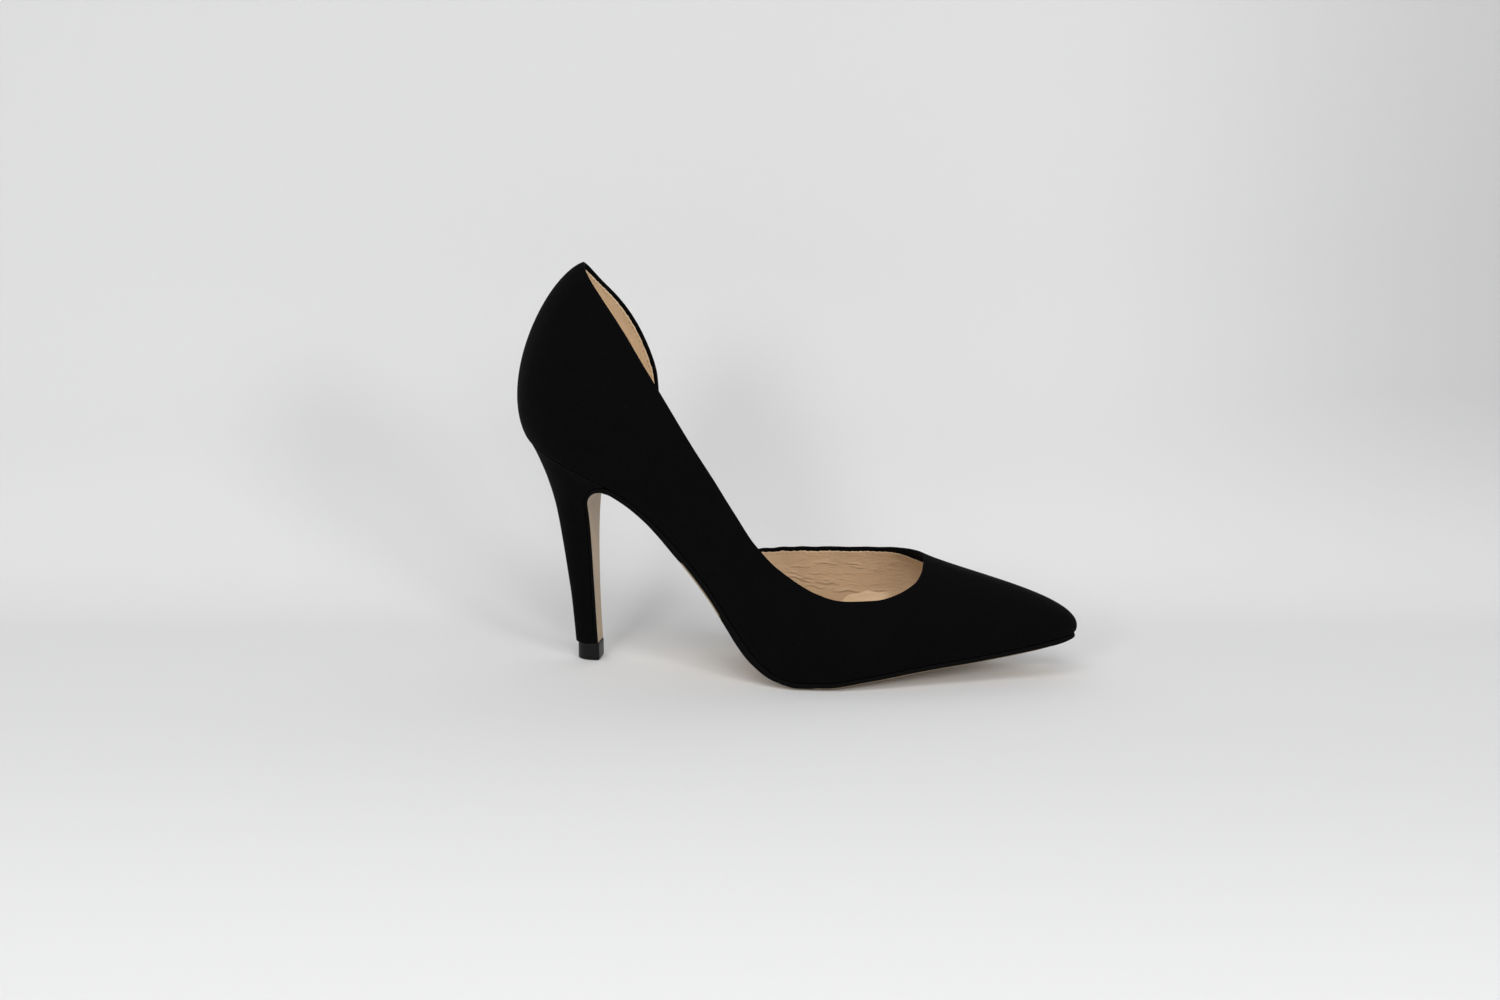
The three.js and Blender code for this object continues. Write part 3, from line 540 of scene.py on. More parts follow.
# Meshes.
def clean_mesh(mesh):
    """Joins coincident corners, drops empty faces and turns all faces outward."""
    work = bmesh.new()
    work.from_mesh(mesh)
    bmesh.ops.remove_doubles(work, verts=work.verts, dist=1e-7)
    bmesh.ops.dissolve_degenerate(work, edges=work.edges, dist=1e-8)
    bmesh.ops.recalc_face_normals(work, faces=work.faces)
    work.to_mesh(mesh)
    work.free()


def grid_object(name, rows, materials, pick=None, loop=True, around=True, caps=None, marks=None):
    """A mesh from rows of points (rows, columns, xyz). around closes the rows into a ring, loop the columns.
    pick gives the faces' materials, by column or by row and column, caps closes the first and last row in these
    materials, and marks are the values of named attributes."""
    count, wide = rows.shape[:2]
    last_row = count if around else count - 1
    last_column = wide if loop else wide - 1
    i = np.repeat(np.arange(last_row), last_column)
    j = np.tile(np.arange(last_column), last_row)
    after, beside = (i + 1) % count, (j + 1) % wide
    faces = np.stack([i * wide + j, after * wide + j, after * wide + beside, i * wide + beside], axis=1)
    faces = [tuple(int(v) for v in face) for face in faces]
    shades = [0] * len(faces) if pick is None else np.broadcast_to(pick, (count, wide))[i, j].tolist()
    if caps:
        faces += [tuple(range(wide - 1, -1, -1)), tuple(range((count - 1) * wide, count * wide))]
        shades += [caps[0], caps[1]]
    along = np.linalg.norm(np.diff(rows, axis=0, append=rows[:1]), axis=2).mean(axis=1)
    across = np.linalg.norm(np.diff(rows, axis=1, append=rows[:, :1]), axis=2)
    u = np.concatenate([[0], np.cumsum(along)])
    v = np.concatenate([np.zeros((count, 1)), np.cumsum(across, axis=1)], axis=1)
    mesh = bpy.data.meshes.new(name)
    mesh.from_pydata([tuple(p) for p in rows.reshape(-1, 3)], [], faces)
    layer = mesh.uv_layers.new(name="surface")
    places = np.stack([u[i], v[i, j], u[i + 1], v[after, j], u[i + 1], v[after, j + 1], u[i], v[i, j + 1]], axis=1)
    if caps:
        ends = [(u[0], v[0, k]) for k in range(wide - 1, -1, -1)] + [(u[-2], v[-1, k]) for k in range(wide)]
        places = np.append(places, ends)
    layer.data.foreach_set("uv", places.astype(np.float32).ravel())
    mesh.polygons.foreach_set("material_index", shades)
    for material in materials:
        mesh.materials.append(material)
    for mark, values in (marks or {}).items():
        mesh.attributes.new(mark, "FLOAT", "POINT").data.foreach_set("value", values.astype(np.float32).ravel())
    clean_mesh(mesh)
    for polygon in mesh.polygons:
        polygon.use_smooth = len(polygon.vertices) <= 4
    piece = bpy.data.objects.new(name, mesh)
    bpy.context.collection.objects.link(piece)
    return piece


def hand_over(piece, slot, *nodes):
    """Puts a finished piece on the shoe, for its operator: it rides on the body and stands for the named nodes."""
    if len(piece.data.polygons) == 0:
        raise RuntimeError(f"{piece.name} has no faces")
    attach(piece, "root")
    if nodes:
        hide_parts(*nodes)
    return {"FINISHED"}


def settings():
    found = getattr(bpy.context.scene, "pump_shoe", None)
    if found is None:
        raise RuntimeError("the shoe's settings aren't registered")
    return found


def shapes():
    """The panel's sizes, with the last and the flap that they give."""
    s = settings()
    last = Last(s)
    return s, last, Flap(last)


# The upper. The suede folded inside the topline, in shares of its usual depth, by the distance around from the
# throat's front: it is deepest there.
BAND = {
    "aside": (0, 0.1, 0.112, 0.118, 0.123, 0.128, 0.134, 0.142, 0.151, 0.17, 0.22, 0.36, 0.46, 0.485, 0.5),
    "wide": (6.5, 6.5, 6.4, 6.2, 5.8, 4.9, 3.5, 1.9, 1.2, 0.78, 0.78, 0.75, 0.75, 1.1, 2.2),
}


def band_depth(s, places, length):
    wide = curve(BAND, "aside", "wide")(np.abs(places - 0.5))
    return np.minimum(s.band_depth * wide[:, None], 0.3 * length)


def wall_points(last, places, shares, profile, depth):
    """The wall's points, set in by depth from the outside face along its normal."""
    return last.outside(profile, shares) - last.facing(places, profile, shares) * np.asarray(depth)[..., None]


def suede_upper_rows(last, s):
    """Rows round the suede: in under the foot, up the outside, over the rim, down the fold, and down inside."""
    places = last.stations(600)
    profile = last.profile(places)
    length = profile[4][:, None]
    foot = 0.35 * MM / length
    rim_share = np.ones((len(places), 1))
    outer = foot + (1 - foot) * np.linspace(0, 1, 56)[None, :]
    normal = last.facing(places, profile, rim_share)[:, 0]
    along = unit((profile[3] - profile[2]))
    centre = profile[3] - normal * s.wall / 2
    turns = np.radians([22, 45, 68, 90, 112, 135, 158])
    rim = centre[:, None] + s.wall / 2 * np.cos(turns)[None, :, None] * normal[:, None]
    rim += 0.3 * s.wall * np.sin(turns)[None, :, None] * along[:, None]
    depth = band_depth(s, places, length)
    band = 1 - depth / length * np.linspace(0, 1, 6)[None, :]
    tuck = 1 - (depth + 0.35 * MM) / length
    first = np.minimum(0.5, 2.2 * MM / length)
    under = tuck + (first - tuck) * np.linspace(0, 1, 12)[None, :]
    insets = [(8.0, 0.0), (4.0, 0.0), (1.2, 0.0), (0.55, 0.02), (0.22, 0.1), (0.05, 0.22)]
    lower = [last.rim(places, a * MM, b * MM)[1] for a, b in insets]
    margin = [last.rim(places, a * MM, b * MM)[1] for a, b in ((1.3, 1.35), (2.2, 1.2), (8.0, 1.2))]
    columns = [np.stack(lower, axis=1), wall_points(last, places, outer, profile, 0.0), rim,
               wall_points(last, places, band, profile, s.wall),
               wall_points(last, places, under, profile, 0.55 * s.wall), np.stack(margin, axis=1)]
    return np.concatenate(columns, axis=1)


# Creases of the lining, where the leather gathered over the last. Each has the place around at its start and its
# end, the depth under the topline there, how far it waves and how high it stands, in millimetres.
CREASES = (
    (0.722, 0.743, 7.9, 6.3, 0.3, 0.4), (0.702, 0.717, 8.4, 6.6, 0.25, 0.4), (0.701, 0.713, 10.2, 8.6, 0.2, 0.35),
    (0.745, 0.767, 16.6, 11.5, 0.4, 0.45), (0.744, 0.757, 14.6, 13.6, 0.2, 0.35), (0.726, 0.744, 18.4, 15.6, 0.3, 0.4),
    (0.728, 0.738, 16.7, 15.3, 0.2, 0.3), (0.736, 0.754, 19.2, 17.0, 0.3, 0.4), (0.712, 0.734, 21.8, 21.0, 0.4, 0.55),
    (0.692, 0.706, 22.2, 21.5, 0.2, 0.45), (0.745, 0.762, 9.0, 8.0, 0.2, 0.25), (0.75, 0.768, 13.2, 9.6, 0.3, 0.3),
    (0.733, 0.748, 12.6, 11.6, 0.3, 0.25), (0.712, 0.735, 13.2, 12.2, 0.3, 0.2), (0.685, 0.7, 12.0, 11.0, 0.3, 0.2),
    (0.668, 0.677, 8.6, 8.0, 0.2, 0.25), (0.653, 0.66, 9.2, 8.8, 0.1, 0.25), (0.67, 0.679, 14.6, 14.0, 0.2, 0.22),
    (0.676, 0.69, 17.2, 16.4, 0.2, 0.2), (0.23, 0.27, 8.0, 10.0, 0.5, 0.3), (0.25, 0.29, 13.0, 14.0, 0.6, 0.3),
    (0.27, 0.3, 19.0, 20.0, 0.4, 0.3), (0.91, 0.935, 9.0, 11.0, 0.5, 0.2), (0.07, 0.1, 9.0, 12.0, 0.5, 0.2),
)
# The flat of the lining under the longest crease, painted lighter as painted light: it starts and ends at these places
# around and depths.
FLAT = {"start": 0.689, "end": 0.732, "shallow": 22.0, "deep": 26.0}
# Puckers where the lining was gathered under the band: their first and last place around, depth and height in
# millimetres, and the distance around from one to the next.
PUCKERS = {"start": 0.64, "end": 0.7, "deep": 4.0, "high": 0.16, "step": 0.0078}


def crease_height(places, down):
    """How far the creases lift the lining at each place around and each depth under the topline, and how far
    each point lies in a crease's fold or a pucker's trough, which is how much painted shade it gets."""
    lifted, folded = np.zeros_like(down), np.zeros_like(down)
    for number, (start, end, first, final, wave, high) in enumerate(CREASES):
        share = (places - start) / (end - start)
        fade = np.clip(np.sin(math.pi * np.clip(share, 0, 1)), 0, 1) ** 0.6
        middle = mix(first, final, share) + wave * np.sin(share * 9.0 + number * 1.7)
        off = (down / MM - middle[:, None]) / 0.42
        lifted += high * MM * 0.6 * fade[:, None] * (np.exp(-off * off) - 0.45 * np.exp(-(off - 1.6) ** 2))
        folded = np.maximum(folded, min(1, high / 0.45) * fade[:, None] * np.exp(-((off - 1.5) / 0.7) ** 2))
    share = (places - PUCKERS["start"]) / (PUCKERS["end"] - PUCKERS["start"])
    here = np.sin(math.pi * np.clip(share, 0, 1))[:, None] * (1 - ramp(down / MM, 1.4, PUCKERS["deep"]))
    turn = 2 * math.pi * (places[:, None] + 0.0006 * down / MM) / PUCKERS["step"]
    lifted += PUCKERS["high"] * MM * here * np.sin(turn)
    # The puckers' troughs get painted shade too.
    folded = np.maximum(folded, 0.5 * here * np.clip(-np.sin(turn), 0, 1) ** 2)
    return lifted, folded


def painted_light_on_flat(places, down):
    """1 on the smooth flat of the lining, which is painted lighter as painted light, and 0 elsewhere."""
    edge = mix(FLAT["shallow"], FLAT["deep"], ramp(places, 0.5 * (FLAT["start"] + FLAT["end"]), FLAT["end"]))
    edge = edge - 0.5 * np.sin(places * 420.0)
    inside = ramp(places, FLAT["start"], FLAT["start"] + 0.012) * (1 - ramp(places, FLAT["end"], FLAT["end"] + 0.004))
    return ramp(down / MM - edge[:, None], -0.3, 0.5) * inside[:, None]


def lining_rows(last, s):
    """Rows round the lining: down its face, up its back and in under the fold, and its marks of painted light
    and painted shade for the leather.
    """
    places = last.stations(900)
    profile = last.profile(places)
    length = profile[4][:, None]
    depth = band_depth(s, places, length)
    ragged = 0.09 * MM * (np.sin(places * 811.0) + np.sin(places * 1433.0 + 1.0))[:, None]
    edge = 1 - (depth - 0.12 * MM + ragged) / length
    low = np.minimum(0.45, 1.9 * MM / length)
    inner = edge + (low - edge) * (np.linspace(0, 1, 96) ** 1.15)[None, :]
    down = (1 - inner) * length
    lifted, folded = crease_height(places, down)
    start = np.clip((down - depth) / (1.2 * MM), 0, 1)
    # The creases start under the fold and fade out over the sole.
    face = s.wall + 0.25 * MM
    raised = np.minimum(face + lifted * start, face + np.clip(inner * length - 4.2 * MM, 0, 1 * MM) * 0.5)
    # Just over the sock's edge the lining rolls in and covers the joint.
    sock = s.margin_thickness + s.gap + s.insole_thickness
    above = inner * length - sock
    raised = raised + 0.75 * MM * ramp(above, 0, 0.5 * MM) * (1 - ramp(above, 0.8 * MM, 3.2 * MM))
    # Its cut edge under the fold is thinned.
    raised[:, 0] -= 0.16 * MM
    raised[:, 1] -= 0.03 * MM
    outer = low + (edge - low) * np.linspace(0, 1, 10)[None, :]
    rows = np.concatenate([
        wall_points(last, places, inner, profile, raised),
        wall_points(last, places, outer, profile, 0.62 * s.wall),
        wall_points(last, places, edge, profile, 0.72 * s.wall)], axis=1)
    # The quarter's lining is made lighter in colour: painted light.
    quarter_painted_light = 0.9 * ramp(np.abs(places - 0.5), 0.3, 0.43)[:, None]
    # The mark flat makes the lining lighter: painted light. The mark fold is painted shade.
    marks = {"flat": np.maximum(painted_light_on_flat(places, down), quarter_painted_light), "fold": folded * start}
    beyond = ((0, 0), (0, rows.shape[1] - inner.shape[1]))
    return rows, {name: np.pad(values, beyond) for name, values in marks.items()}


# The sole's lower bevel is bare leather between these reaches, and inked elsewhere.
BARE_BEVEL = ((0.29, 0.385), (0.54, 0.97))
# The sole is a little fuller under the shank, by these shares of its thickness at these reaches.
FULLER = {
    "reach": (0, 0.24, 0.26, 0.30, 0.34, 0.37, 0.39, 0.415, 0.435, 0.455, 0.49, 1),
    "down": (0, 0, 0.09, 0.33, 0.33, 0.25, 0.28, 0.42, 0.36, 0.22, 0, 0),
}


# The flat pieces. A rounded corner of their sections has this many points.
CORNER_POINTS = 5


def plate_rows(last, reach_count, section):
    """Sections of a plate. Each section point is its share across from -1 to 1, its inset and its height."""
    columns = []
    for across, inset, height in section:
        reach = last.between(np.linspace(0, 1, reach_count), inset)
        columns.append(last.point(reach, last.across(reach, across, inset), height))
    return np.stack(columns, axis=1)


def section_points(low, high, inset, under, over, count=28):
    """A section round a plate, from its underside's one side over the top and back, with rounded corners.
    under and over are the corners' sizes."""
    turn = np.radians(np.linspace(0, 90, CORNER_POINTS))
    up_corner = [(inset + over * (1 - math.cos(a)), high - over * (1 - math.sin(a))) for a in turn]
    low_corner = [(inset + under * (1 - math.sin(a)), low + under * (1 - math.cos(a))) for a in turn]
    across = np.linspace(-1, 1, count)[1:-1]
    section = [(-1, a, b) for a, b in low_corner] + [(-1, a, b) for a, b in up_corner]
    section += [(c, inset + over, high) for c in across]
    section += [(1, a, b) for a, b in up_corner[::-1]] + [(1, a, b) for a, b in low_corner[::-1]]
    section += [(c, inset + under, low) for c in across[::-1]]
    return section


def sock_rows(last, s):
    """Sections of the insole and its sock, which fill the upper's bottom from wall to wall."""
    low = s.margin_thickness + s.gap
    inset = s.wall + 0.27 * MM
    return plate_rows(last, 300, section_points(low, low + s.insole_thickness, inset, 0.3 * MM, 0.55 * MM, 36))


def outsole_rows(last, flap, s):
    """The sole from the toe back to the arch, then down the heel's front. A column is its share across, its
    bevel from the side and its depth from the face that shows."""
    edge_under, edge_over = 0.42 * MM, 0.2 * MM
    section = section_points(0.0, 0.0, 0.0, edge_under, edge_over)
    column = np.arange(len(section))
    # The columns from first to final lie on the face toward the upper.
    first, final = CORNER_POINTS, len(section) // 2 + CORNER_POINTS
    upper_face = (column >= first) & (column < final)
    share = np.linspace(1, math.acos(1 - 2 * flap.start_reach) / math.pi, 260)
    columns = []
    for (c, bevel, depth), top in zip(section, upper_face):
        inset = s.sole_inset + bevel
        reach = last.between(share, inset, back=0)
        height = -s.gap - s.sole_thickness + depth + s.sole_thickness * top
        if not top:
            fuller = curve(FULLER, "reach", "down")(np.clip(reach, 0, 1)) * s.sole_thickness
            height = height - fuller * (1 - depth / edge_under)
        columns.append(last.point(reach, last.across(reach, c, inset), height))
    plate = np.stack(columns, axis=1)
    length = np.concatenate([np.linspace(0, flap.bend, 60)[1:], np.linspace(flap.bend, flap.length, 90)[1:]])
    face, inward = flap.face(length)
    thick = flap.thickness(length)
    front = (length - flap.lip) / (flap.length - flap.lip)
    halves = {}
    for side in (-1.0, 1.0):
        wide = last.edge(last.reach_at(face[:, 0]), side, s.sole_inset)
        halves[side] = np.where(front < 0, wide, flap.half(flap.width(front), side))
    columns = []
    for (c, bevel, depth), top in zip(section, upper_face):
        point = face + inward * (depth + thick * top)[:, None]
        point[:, 1] = mix(halves[-1.0] + bevel, halves[1.0] - bevel, (c + 1) / 2)
        columns.append(point)
    rows = np.concatenate([plate, np.stack(columns, axis=1)], axis=0)
    # The sides are inked down to the lower bevel, which has three faces over the underside on either side. They
    # are bare between the reaches of BARE_BEVEL, fewer of them at its ends.
    side = (column >= 3) & (column <= final)
    above = np.where(column < 3, column, final + 3 - column)
    reach = last.reach_at(rows[:, :1, 0])
    bare = np.max([np.clip(np.minimum(reach - a, b - reach) / 0.02, 0, 1) for a, b in BARE_BEVEL], axis=0)
    bevel = (above >= 0) & (above < 3) & (above >= 3 * bare)
    # rim marks the bare bevel, which the leather darkens, partly as painted shade.
    rim = ((column < first) | (column > final) & (column < final + CORNER_POINTS)) & (bare > 0)
    return rows, (side | bevel).astype(int), rim.astype(float)


def seat_loop(last, flap, s, steps=56):
    """The heel's seat, from one front corner round the back to the other: each point's reach, side, share across
    and share back."""
    share = np.arange(steps) / (steps - 0.5)
    back_reach = last.back_end(s.sole_inset)
    reach = mix(flap.lip_reach, back_reach, np.sin(math.pi / 2 * share))
    beside = [last.edge(reach, side, s.sole_inset) / flap.seat_edge(side) for side in (-1.0, 1.0)]
    behind = (flap.lip_reach - reach) / (flap.lip_reach - back_reach)
    pairs = ((reach, reach), (np.full(steps, -1.0), np.ones(steps)), beside, (behind, behind))
    return [np.concatenate([one, other[::-1]]) for one, other in pairs]


def closed(ring):
    """The ring with the straight front that closes it."""
    front = (np.linspace(-1, 1, 14)[1:-1] + 1) / 2
    return np.concatenate([ring, [mix(ring[-1], ring[0], share) for share in front]])


def heel_rows(last, flap, s):
    """Rings down the heel from the seat to its foot, each between the rear line and the flap in front."""
    reach, side, beside, behind = seat_loop(last, flap, s)
    back, width, run = [curve(HEEL, "drop", name) for name in ("back", "width", "front")]
    seat_y = last.edge(reach, side, s.sole_inset)
    seat_z = last.z(reach)
    back_x = last.x(last.back_end(s.sole_inset))
    at_lip = last.z(np.array([flap.lip_reach]))[0]
    # A lip inside the edge closes the seam under the upper.
    rings = [last.point(reach, last.edge(reach, side, s.sole_inset + 0.9 * MM), -0.03 * MM)]
    for drop in np.linspace(0, 1, 72) ** 1.25:
        at = flap.heel_front(np.array([mix(flap.lip, flap.length, float(run(drop)))]))[0]
        rear = mix(back_x, -s.heel_foot_back, float(back(drop)))
        fallen = (at_lip - at[2]) / (at_lip - flap.foot_z)
        half = np.where(side < 0, flap.half(width(drop), -1.0), flap.half(width(drop), 1.0))
        z = mix(seat_z, flap.foot_z, mix(fallen, drop, behind))
        rings.append(np.stack([mix(at[0], rear, behind), half * beside, z], axis=1))
    rings[1] = last.point(reach, seat_y, -s.gap)
    # The cover's lower edge is turned under, so its last row is drawn in a little.
    middle = rings[-1].mean(axis=0)
    rings.append(middle + (rings[-1] - middle) * 0.955)
    return np.array([closed(ring) for ring in rings])


def top_lift_rows(last, flap, s):
    """The top piece: the seat's own outline made small, with a flat front and rounded lower corners."""
    _, side, beside, behind = seat_loop(last, flap, s)
    outline = closed(np.stack([
        mix(0.5, -0.5, behind) * s.lift_depth, side * np.abs(beside) * s.lift_width / 2], axis=1))
    corner = s.lift_chamfer
    turn = np.radians(np.linspace(90, 0, CORNER_POINTS))
    levels = [(corner * (1 - math.cos(a)), corner * (1 - math.sin(a))) for a in turn]
    top = 0.22 * MM
    levels += [(0.0, mix(corner, s.lift_height - top, t)) for t in (0.25, 0.5, 0.75, 1)]
    levels += [(top * (1 - math.cos(a)), s.lift_height - top * (1 - math.sin(a))) for a in np.radians([30, 60, 90])]
    x, y = outline.T
    return np.array([
        point_rows(x * (1 - 2 * inset / s.lift_depth), y * (1 - 2 * inset / s.lift_width), z) for inset, z in levels])


# Stitches.
def stitch_tree():
    """Lays stitches end to end along a line: even steps, each a small rounded bar turned along the line."""
    tree = bpy.data.node_groups.new("stitches along a line", "GeometryNodeTree")
    face = tree.interface
    face.new_socket("Geometry", in_out="INPUT", socket_type="NodeSocketGeometry")
    for name, value in (("Pitch", 2.4 * MM), ("Stitch", 1.8 * MM), ("Thread", 0.42 * MM)):
        face.new_socket(name, in_out="INPUT", socket_type="NodeSocketFloat").default_value = value
    face.new_socket("Seed", in_out="INPUT", socket_type="NodeSocketInt").default_value = 3
    face.new_socket("Material", in_out="INPUT", socket_type="NodeSocketMaterial")
    face.new_socket("Geometry", in_out="OUTPUT", socket_type="NodeSocketGeometry")
    given = add(tree, "NodeGroupInput").outputs
    line = add(tree, "GeometryNodeMeshToCurve", {"Mesh": given["Geometry"]})
    even = add(tree, "GeometryNodeResampleCurve", {"Curve": line, "Length": given["Pitch"]}, mode="LENGTH")
    tangent = add(tree, "GeometryNodeInputTangent")
    normal = add(tree, "GeometryNodeInputNamedAttribute", {"Name": "facing"}, data_type="FLOAT_VECTOR")
    turn = add(tree, "FunctionNodeAxesToRotation", {"Primary Axis": tangent, "Secondary Axis": normal},
               primary_axis="X", secondary_axis="Z")
    half, thin = [add(tree, "ShaderNodeMath", {0: given[name], 1: 0.5}, operation="MULTIPLY")
                  for name in ("Stitch", "Thread")]
    size = add(tree, "ShaderNodeCombineXYZ", {"X": half, "Y": thin, "Z": thin})
    vary = add(tree, "FunctionNodeRandomValue", {"Min": 0.9, "Max": 1.1, "Seed": given["Seed"]}, data_type="FLOAT")
    bar = add(tree, "GeometryNodeMeshIcoSphere", {"Radius": 1.0, "Subdivisions": 2})
    smooth = add(tree, "GeometryNodeSetShadeSmooth", {"Geometry": bar})
    scaled = add(tree, "ShaderNodeVectorMath", {0: size, "Scale": vary}, operation="SCALE")
    laid = add(tree, "GeometryNodeInstanceOnPoints", {
        "Points": even, "Instance": smooth, "Rotation": turn, "Scale": scaled})
    solid = add(tree, "GeometryNodeRealizeInstances", {"Geometry": laid})
    painted = add(tree, "GeometryNodeSetMaterial", {"Geometry": solid, "Material": given["Material"]})
    add(tree, "NodeGroupOutput", {"Geometry": painted})
    return tree


def stitch_row(name, points, normals, material, sizes):
    """Runs the stitches' tree on a closed line and keeps its plain mesh."""
    line = bpy.data.meshes.new(name + " line")
    count = len(points)
    line.from_pydata([tuple(p) for p in points], [(i, (i + 1) % count) for i in range(count)], [])
    attribute = line.attributes.new("facing", "FLOAT_VECTOR", "POINT")
    attribute.data.foreach_set("vector", np.asarray(normals, np.float32).ravel())
    tree = stitch_tree()
    guide = bpy.data.objects.new(name + " line", line)
    bpy.context.collection.objects.link(guide)
    modifier = guide.modifiers.new("stitches", "NODES")
    modifier.node_group = tree
    sockets = {item.name: item.identifier for item in tree.interface.items_tree if item.in_out == "INPUT"}
    for label, value in {**sizes, "Seed": 3, "Material": material}.items():
        modifier[sockets[label]] = value
    graph = bpy.context.evaluated_depsgraph_get()
    mesh = bpy.data.meshes.new_from_object(guide.evaluated_get(graph), preserve_all_data_layers=True, depsgraph=graph)
    mesh.name = name
    guide.modifiers.remove(modifier)
    bpy.data.objects.remove(guide)
    piece = bpy.data.objects.new(name, mesh)
    bpy.context.collection.objects.link(piece)
    return piece


# The panel's sizes and colours.
def length_of(name, text, value):
    return bpy.props.FloatProperty(name=name, description=text, default=value * MM, unit="LENGTH", precision=5)


def colour_of(name, text, value):
    return bpy.props.FloatVectorProperty(
        name=name, description=text, default=srgb(value), subtype="COLOR", size=3, min=0, max=1)


class PumpShoeSettings(bpy.types.PropertyGroup):
    """Sizes and colours of the shoe. A size that the frame also has is kept the same as the frame's."""
    bottom_reach: length_of("Bottom reach", "The bottom's length from heel to toe, along the floor", 229.6)
    heel_setback: length_of("Heel setback", "How far the bottom starts behind the heel's own middle", 25.7)
    seat_height: length_of("Seat height", "The heel seat's height over the floor", 97.6)
    toe_spring: length_of("Toe spring", "How far the toe stands off the floor", 16.6)
    ball_width: length_of("Ball width", "Width over the ball", 71)
    seat_width: length_of("Seat width", "Width over the heel seat", 49)
    counter_height: length_of("Counter height", "Height of the back over the seat", 82.4)
    throat_height: length_of("Throat height", "Height of the throat over the bottom", 40)
    toe_swing: length_of("Toe swing", "How far the toe turns inward", 6)
    seat_round: length_of("Seat rounding", "Length over which the seat's back rounds off", 26)
    toe_round: length_of("Toe rounding", "Length over which the toe rounds off", 7)
    edge_lift: length_of("Edge lift", "How far the sole's edge curls up beside the ball", 1.2)
    wall: length_of("Wall", "Thickness of suede, stiffener and lining together", 1.6)
    margin_thickness: length_of("Margin", "Thickness of the lasted margin", 1.2)
    sole_thickness: length_of("Sole thickness", "Thickness of the outsole", 2.2)
    flap_thickness: length_of("Flap thickness", "Thickness of the leather on the heel's front", 1.2)
    insole_thickness: length_of("Insole thickness", "Thickness of the insole with its sock", 2.4)
    gap: length_of("Gap", "Room left between two glued pieces", 0.3)
    sole_inset: length_of("Sole inset", "How far the sole stays inside the upper's edge", 0.4)
    lift_height: length_of("Top piece height", "Height of the top piece", 7.4)
    lift_depth: length_of("Top piece depth", "Depth of the top piece", 9.8)
    lift_width: length_of("Top piece width", "Width of the top piece", 9.6)
    lift_chamfer: length_of("Top piece corner", "Rounding of the top piece's lower corner", 0.8)
    heel_foot_back: length_of("Heel foot back", "How far the heel's foot reaches behind its middle", 5.8)
    heel_foot_width: length_of("Heel foot width", "Width of the heel's foot", 10.6)
    breast_line: length_of("Breast line", "How far the heel's front stands before its middle", 2.9)
    breast_kick: length_of("Breast kick", "How far the heel's front runs forward at its foot", 1.7)
    breast_round: length_of("Breast rounding", "Radius where the sole turns down the heel", 7.5)
    heel_lip: length_of("Heel lip", "Thickness of the heel's front edge under the seat", 0.4)
    band_depth: length_of("Folded band", "Depth of the suede folded inside the topline", 1.6)
    stitch_pitch: length_of("Stitch pitch", "Distance from stitch to stitch", 2.3)
    stitch_length: length_of("Stitch length", "Length of one stitch", 1.7)
    thread_width: length_of("Thread width", "Thickness of the thread", 0.32)
    suede: colour_of("Suede", "Colour of the upper and the heel cover", "#060607")
    lining: colour_of("Lining", "Colour of the lining leather", "#d1b492")
    sock: colour_of("Sock", "Colour of the sock leather", "#cfb493")
    sole: colour_of("Sole", "Colour of the sole leather", "#b39c7c")
    edge: colour_of("Edge", "Colour of the inked edge", "#080808")
    lift: colour_of("Top piece", "Colour of the top piece", "#0a0b0b")
    thread: colour_of("Thread", "Colour of the thread in the lining", "#b0906c")
    paper: colour_of("Background", "Colour of the background paper", "#dcdcdc")


class PUMP_OT_suede_upper(bpy.types.Operator):
    """Build the suede upper with its folded topline"""
    bl_idname = "pump.suede_upper"
    bl_label = "Suede upper"

    def execute(self, context):
        s, last, _ = shapes()
        piece = grid_object("suede_upper", suede_upper_rows(last, s), [black_suede(s.suede)])
        return hand_over(piece, "suede", "upper")


class PUMP_OT_lining(bpy.types.Operator):
    """Build the leather lining with its creases"""
    bl_idname = "pump.lining"
    bl_label = "Lining"

    def execute(self, context):
        s, last, _ = shapes()
        rows, marks = lining_rows(last, s)
        piece = grid_object("lining", rows, [calf_leather(s.lining, "vegetable-tanned calf lining")], marks=marks)
        return hand_over(piece, "sock_leather")


class PUMP_OT_sock(bpy.types.Operator):
    """Build the insole with its leather sock"""
    bl_idname = "pump.sock"
    bl_label = "Insole and sock"

    def execute(self, context):
        s, last, _ = shapes()
        leather = calf_leather(s.sock, "smooth calf sock", creases=0.0, rough=(0.42, 0.55), coat=0.08)
        piece = grid_object("sock", sock_rows(last, s), [leather], around=False)
        return hand_over(piece, "sock_leather", "insole")


class PUMP_OT_outsole(bpy.types.Operator):
    """Build the leather outsole with the flap down the heel's front"""
    bl_idname = "pump.outsole"
    bl_label = "Outsole"

    def execute(self, context):
        s, last, flap = shapes()
        rows, paint, rim = outsole_rows(last, flap, s)
        surfaces = [sole_leather(s.sole), painted_edge(s.edge)]
        piece = grid_object("leather_outsole", rows, surfaces, pick=paint, around=False, caps=(1, 0),
                            marks={"rim": rim})
        return hand_over(piece, "sole_leather", "outsole")


class PUMP_OT_heel(bpy.types.Operator):
    """Build the heel with its suede cover"""
    bl_idname = "pump.heel"
    bl_label = "Heel cover"

    def execute(self, context):
        s, last, flap = shapes()
        cover = black_suede(s.suede, "black kid suede heel cover")
        piece = grid_object("heel_cover", heel_rows(last, flap, s), [cover], around=False, caps=(0, 0))
        return hand_over(piece, "heel_cover", "heel")


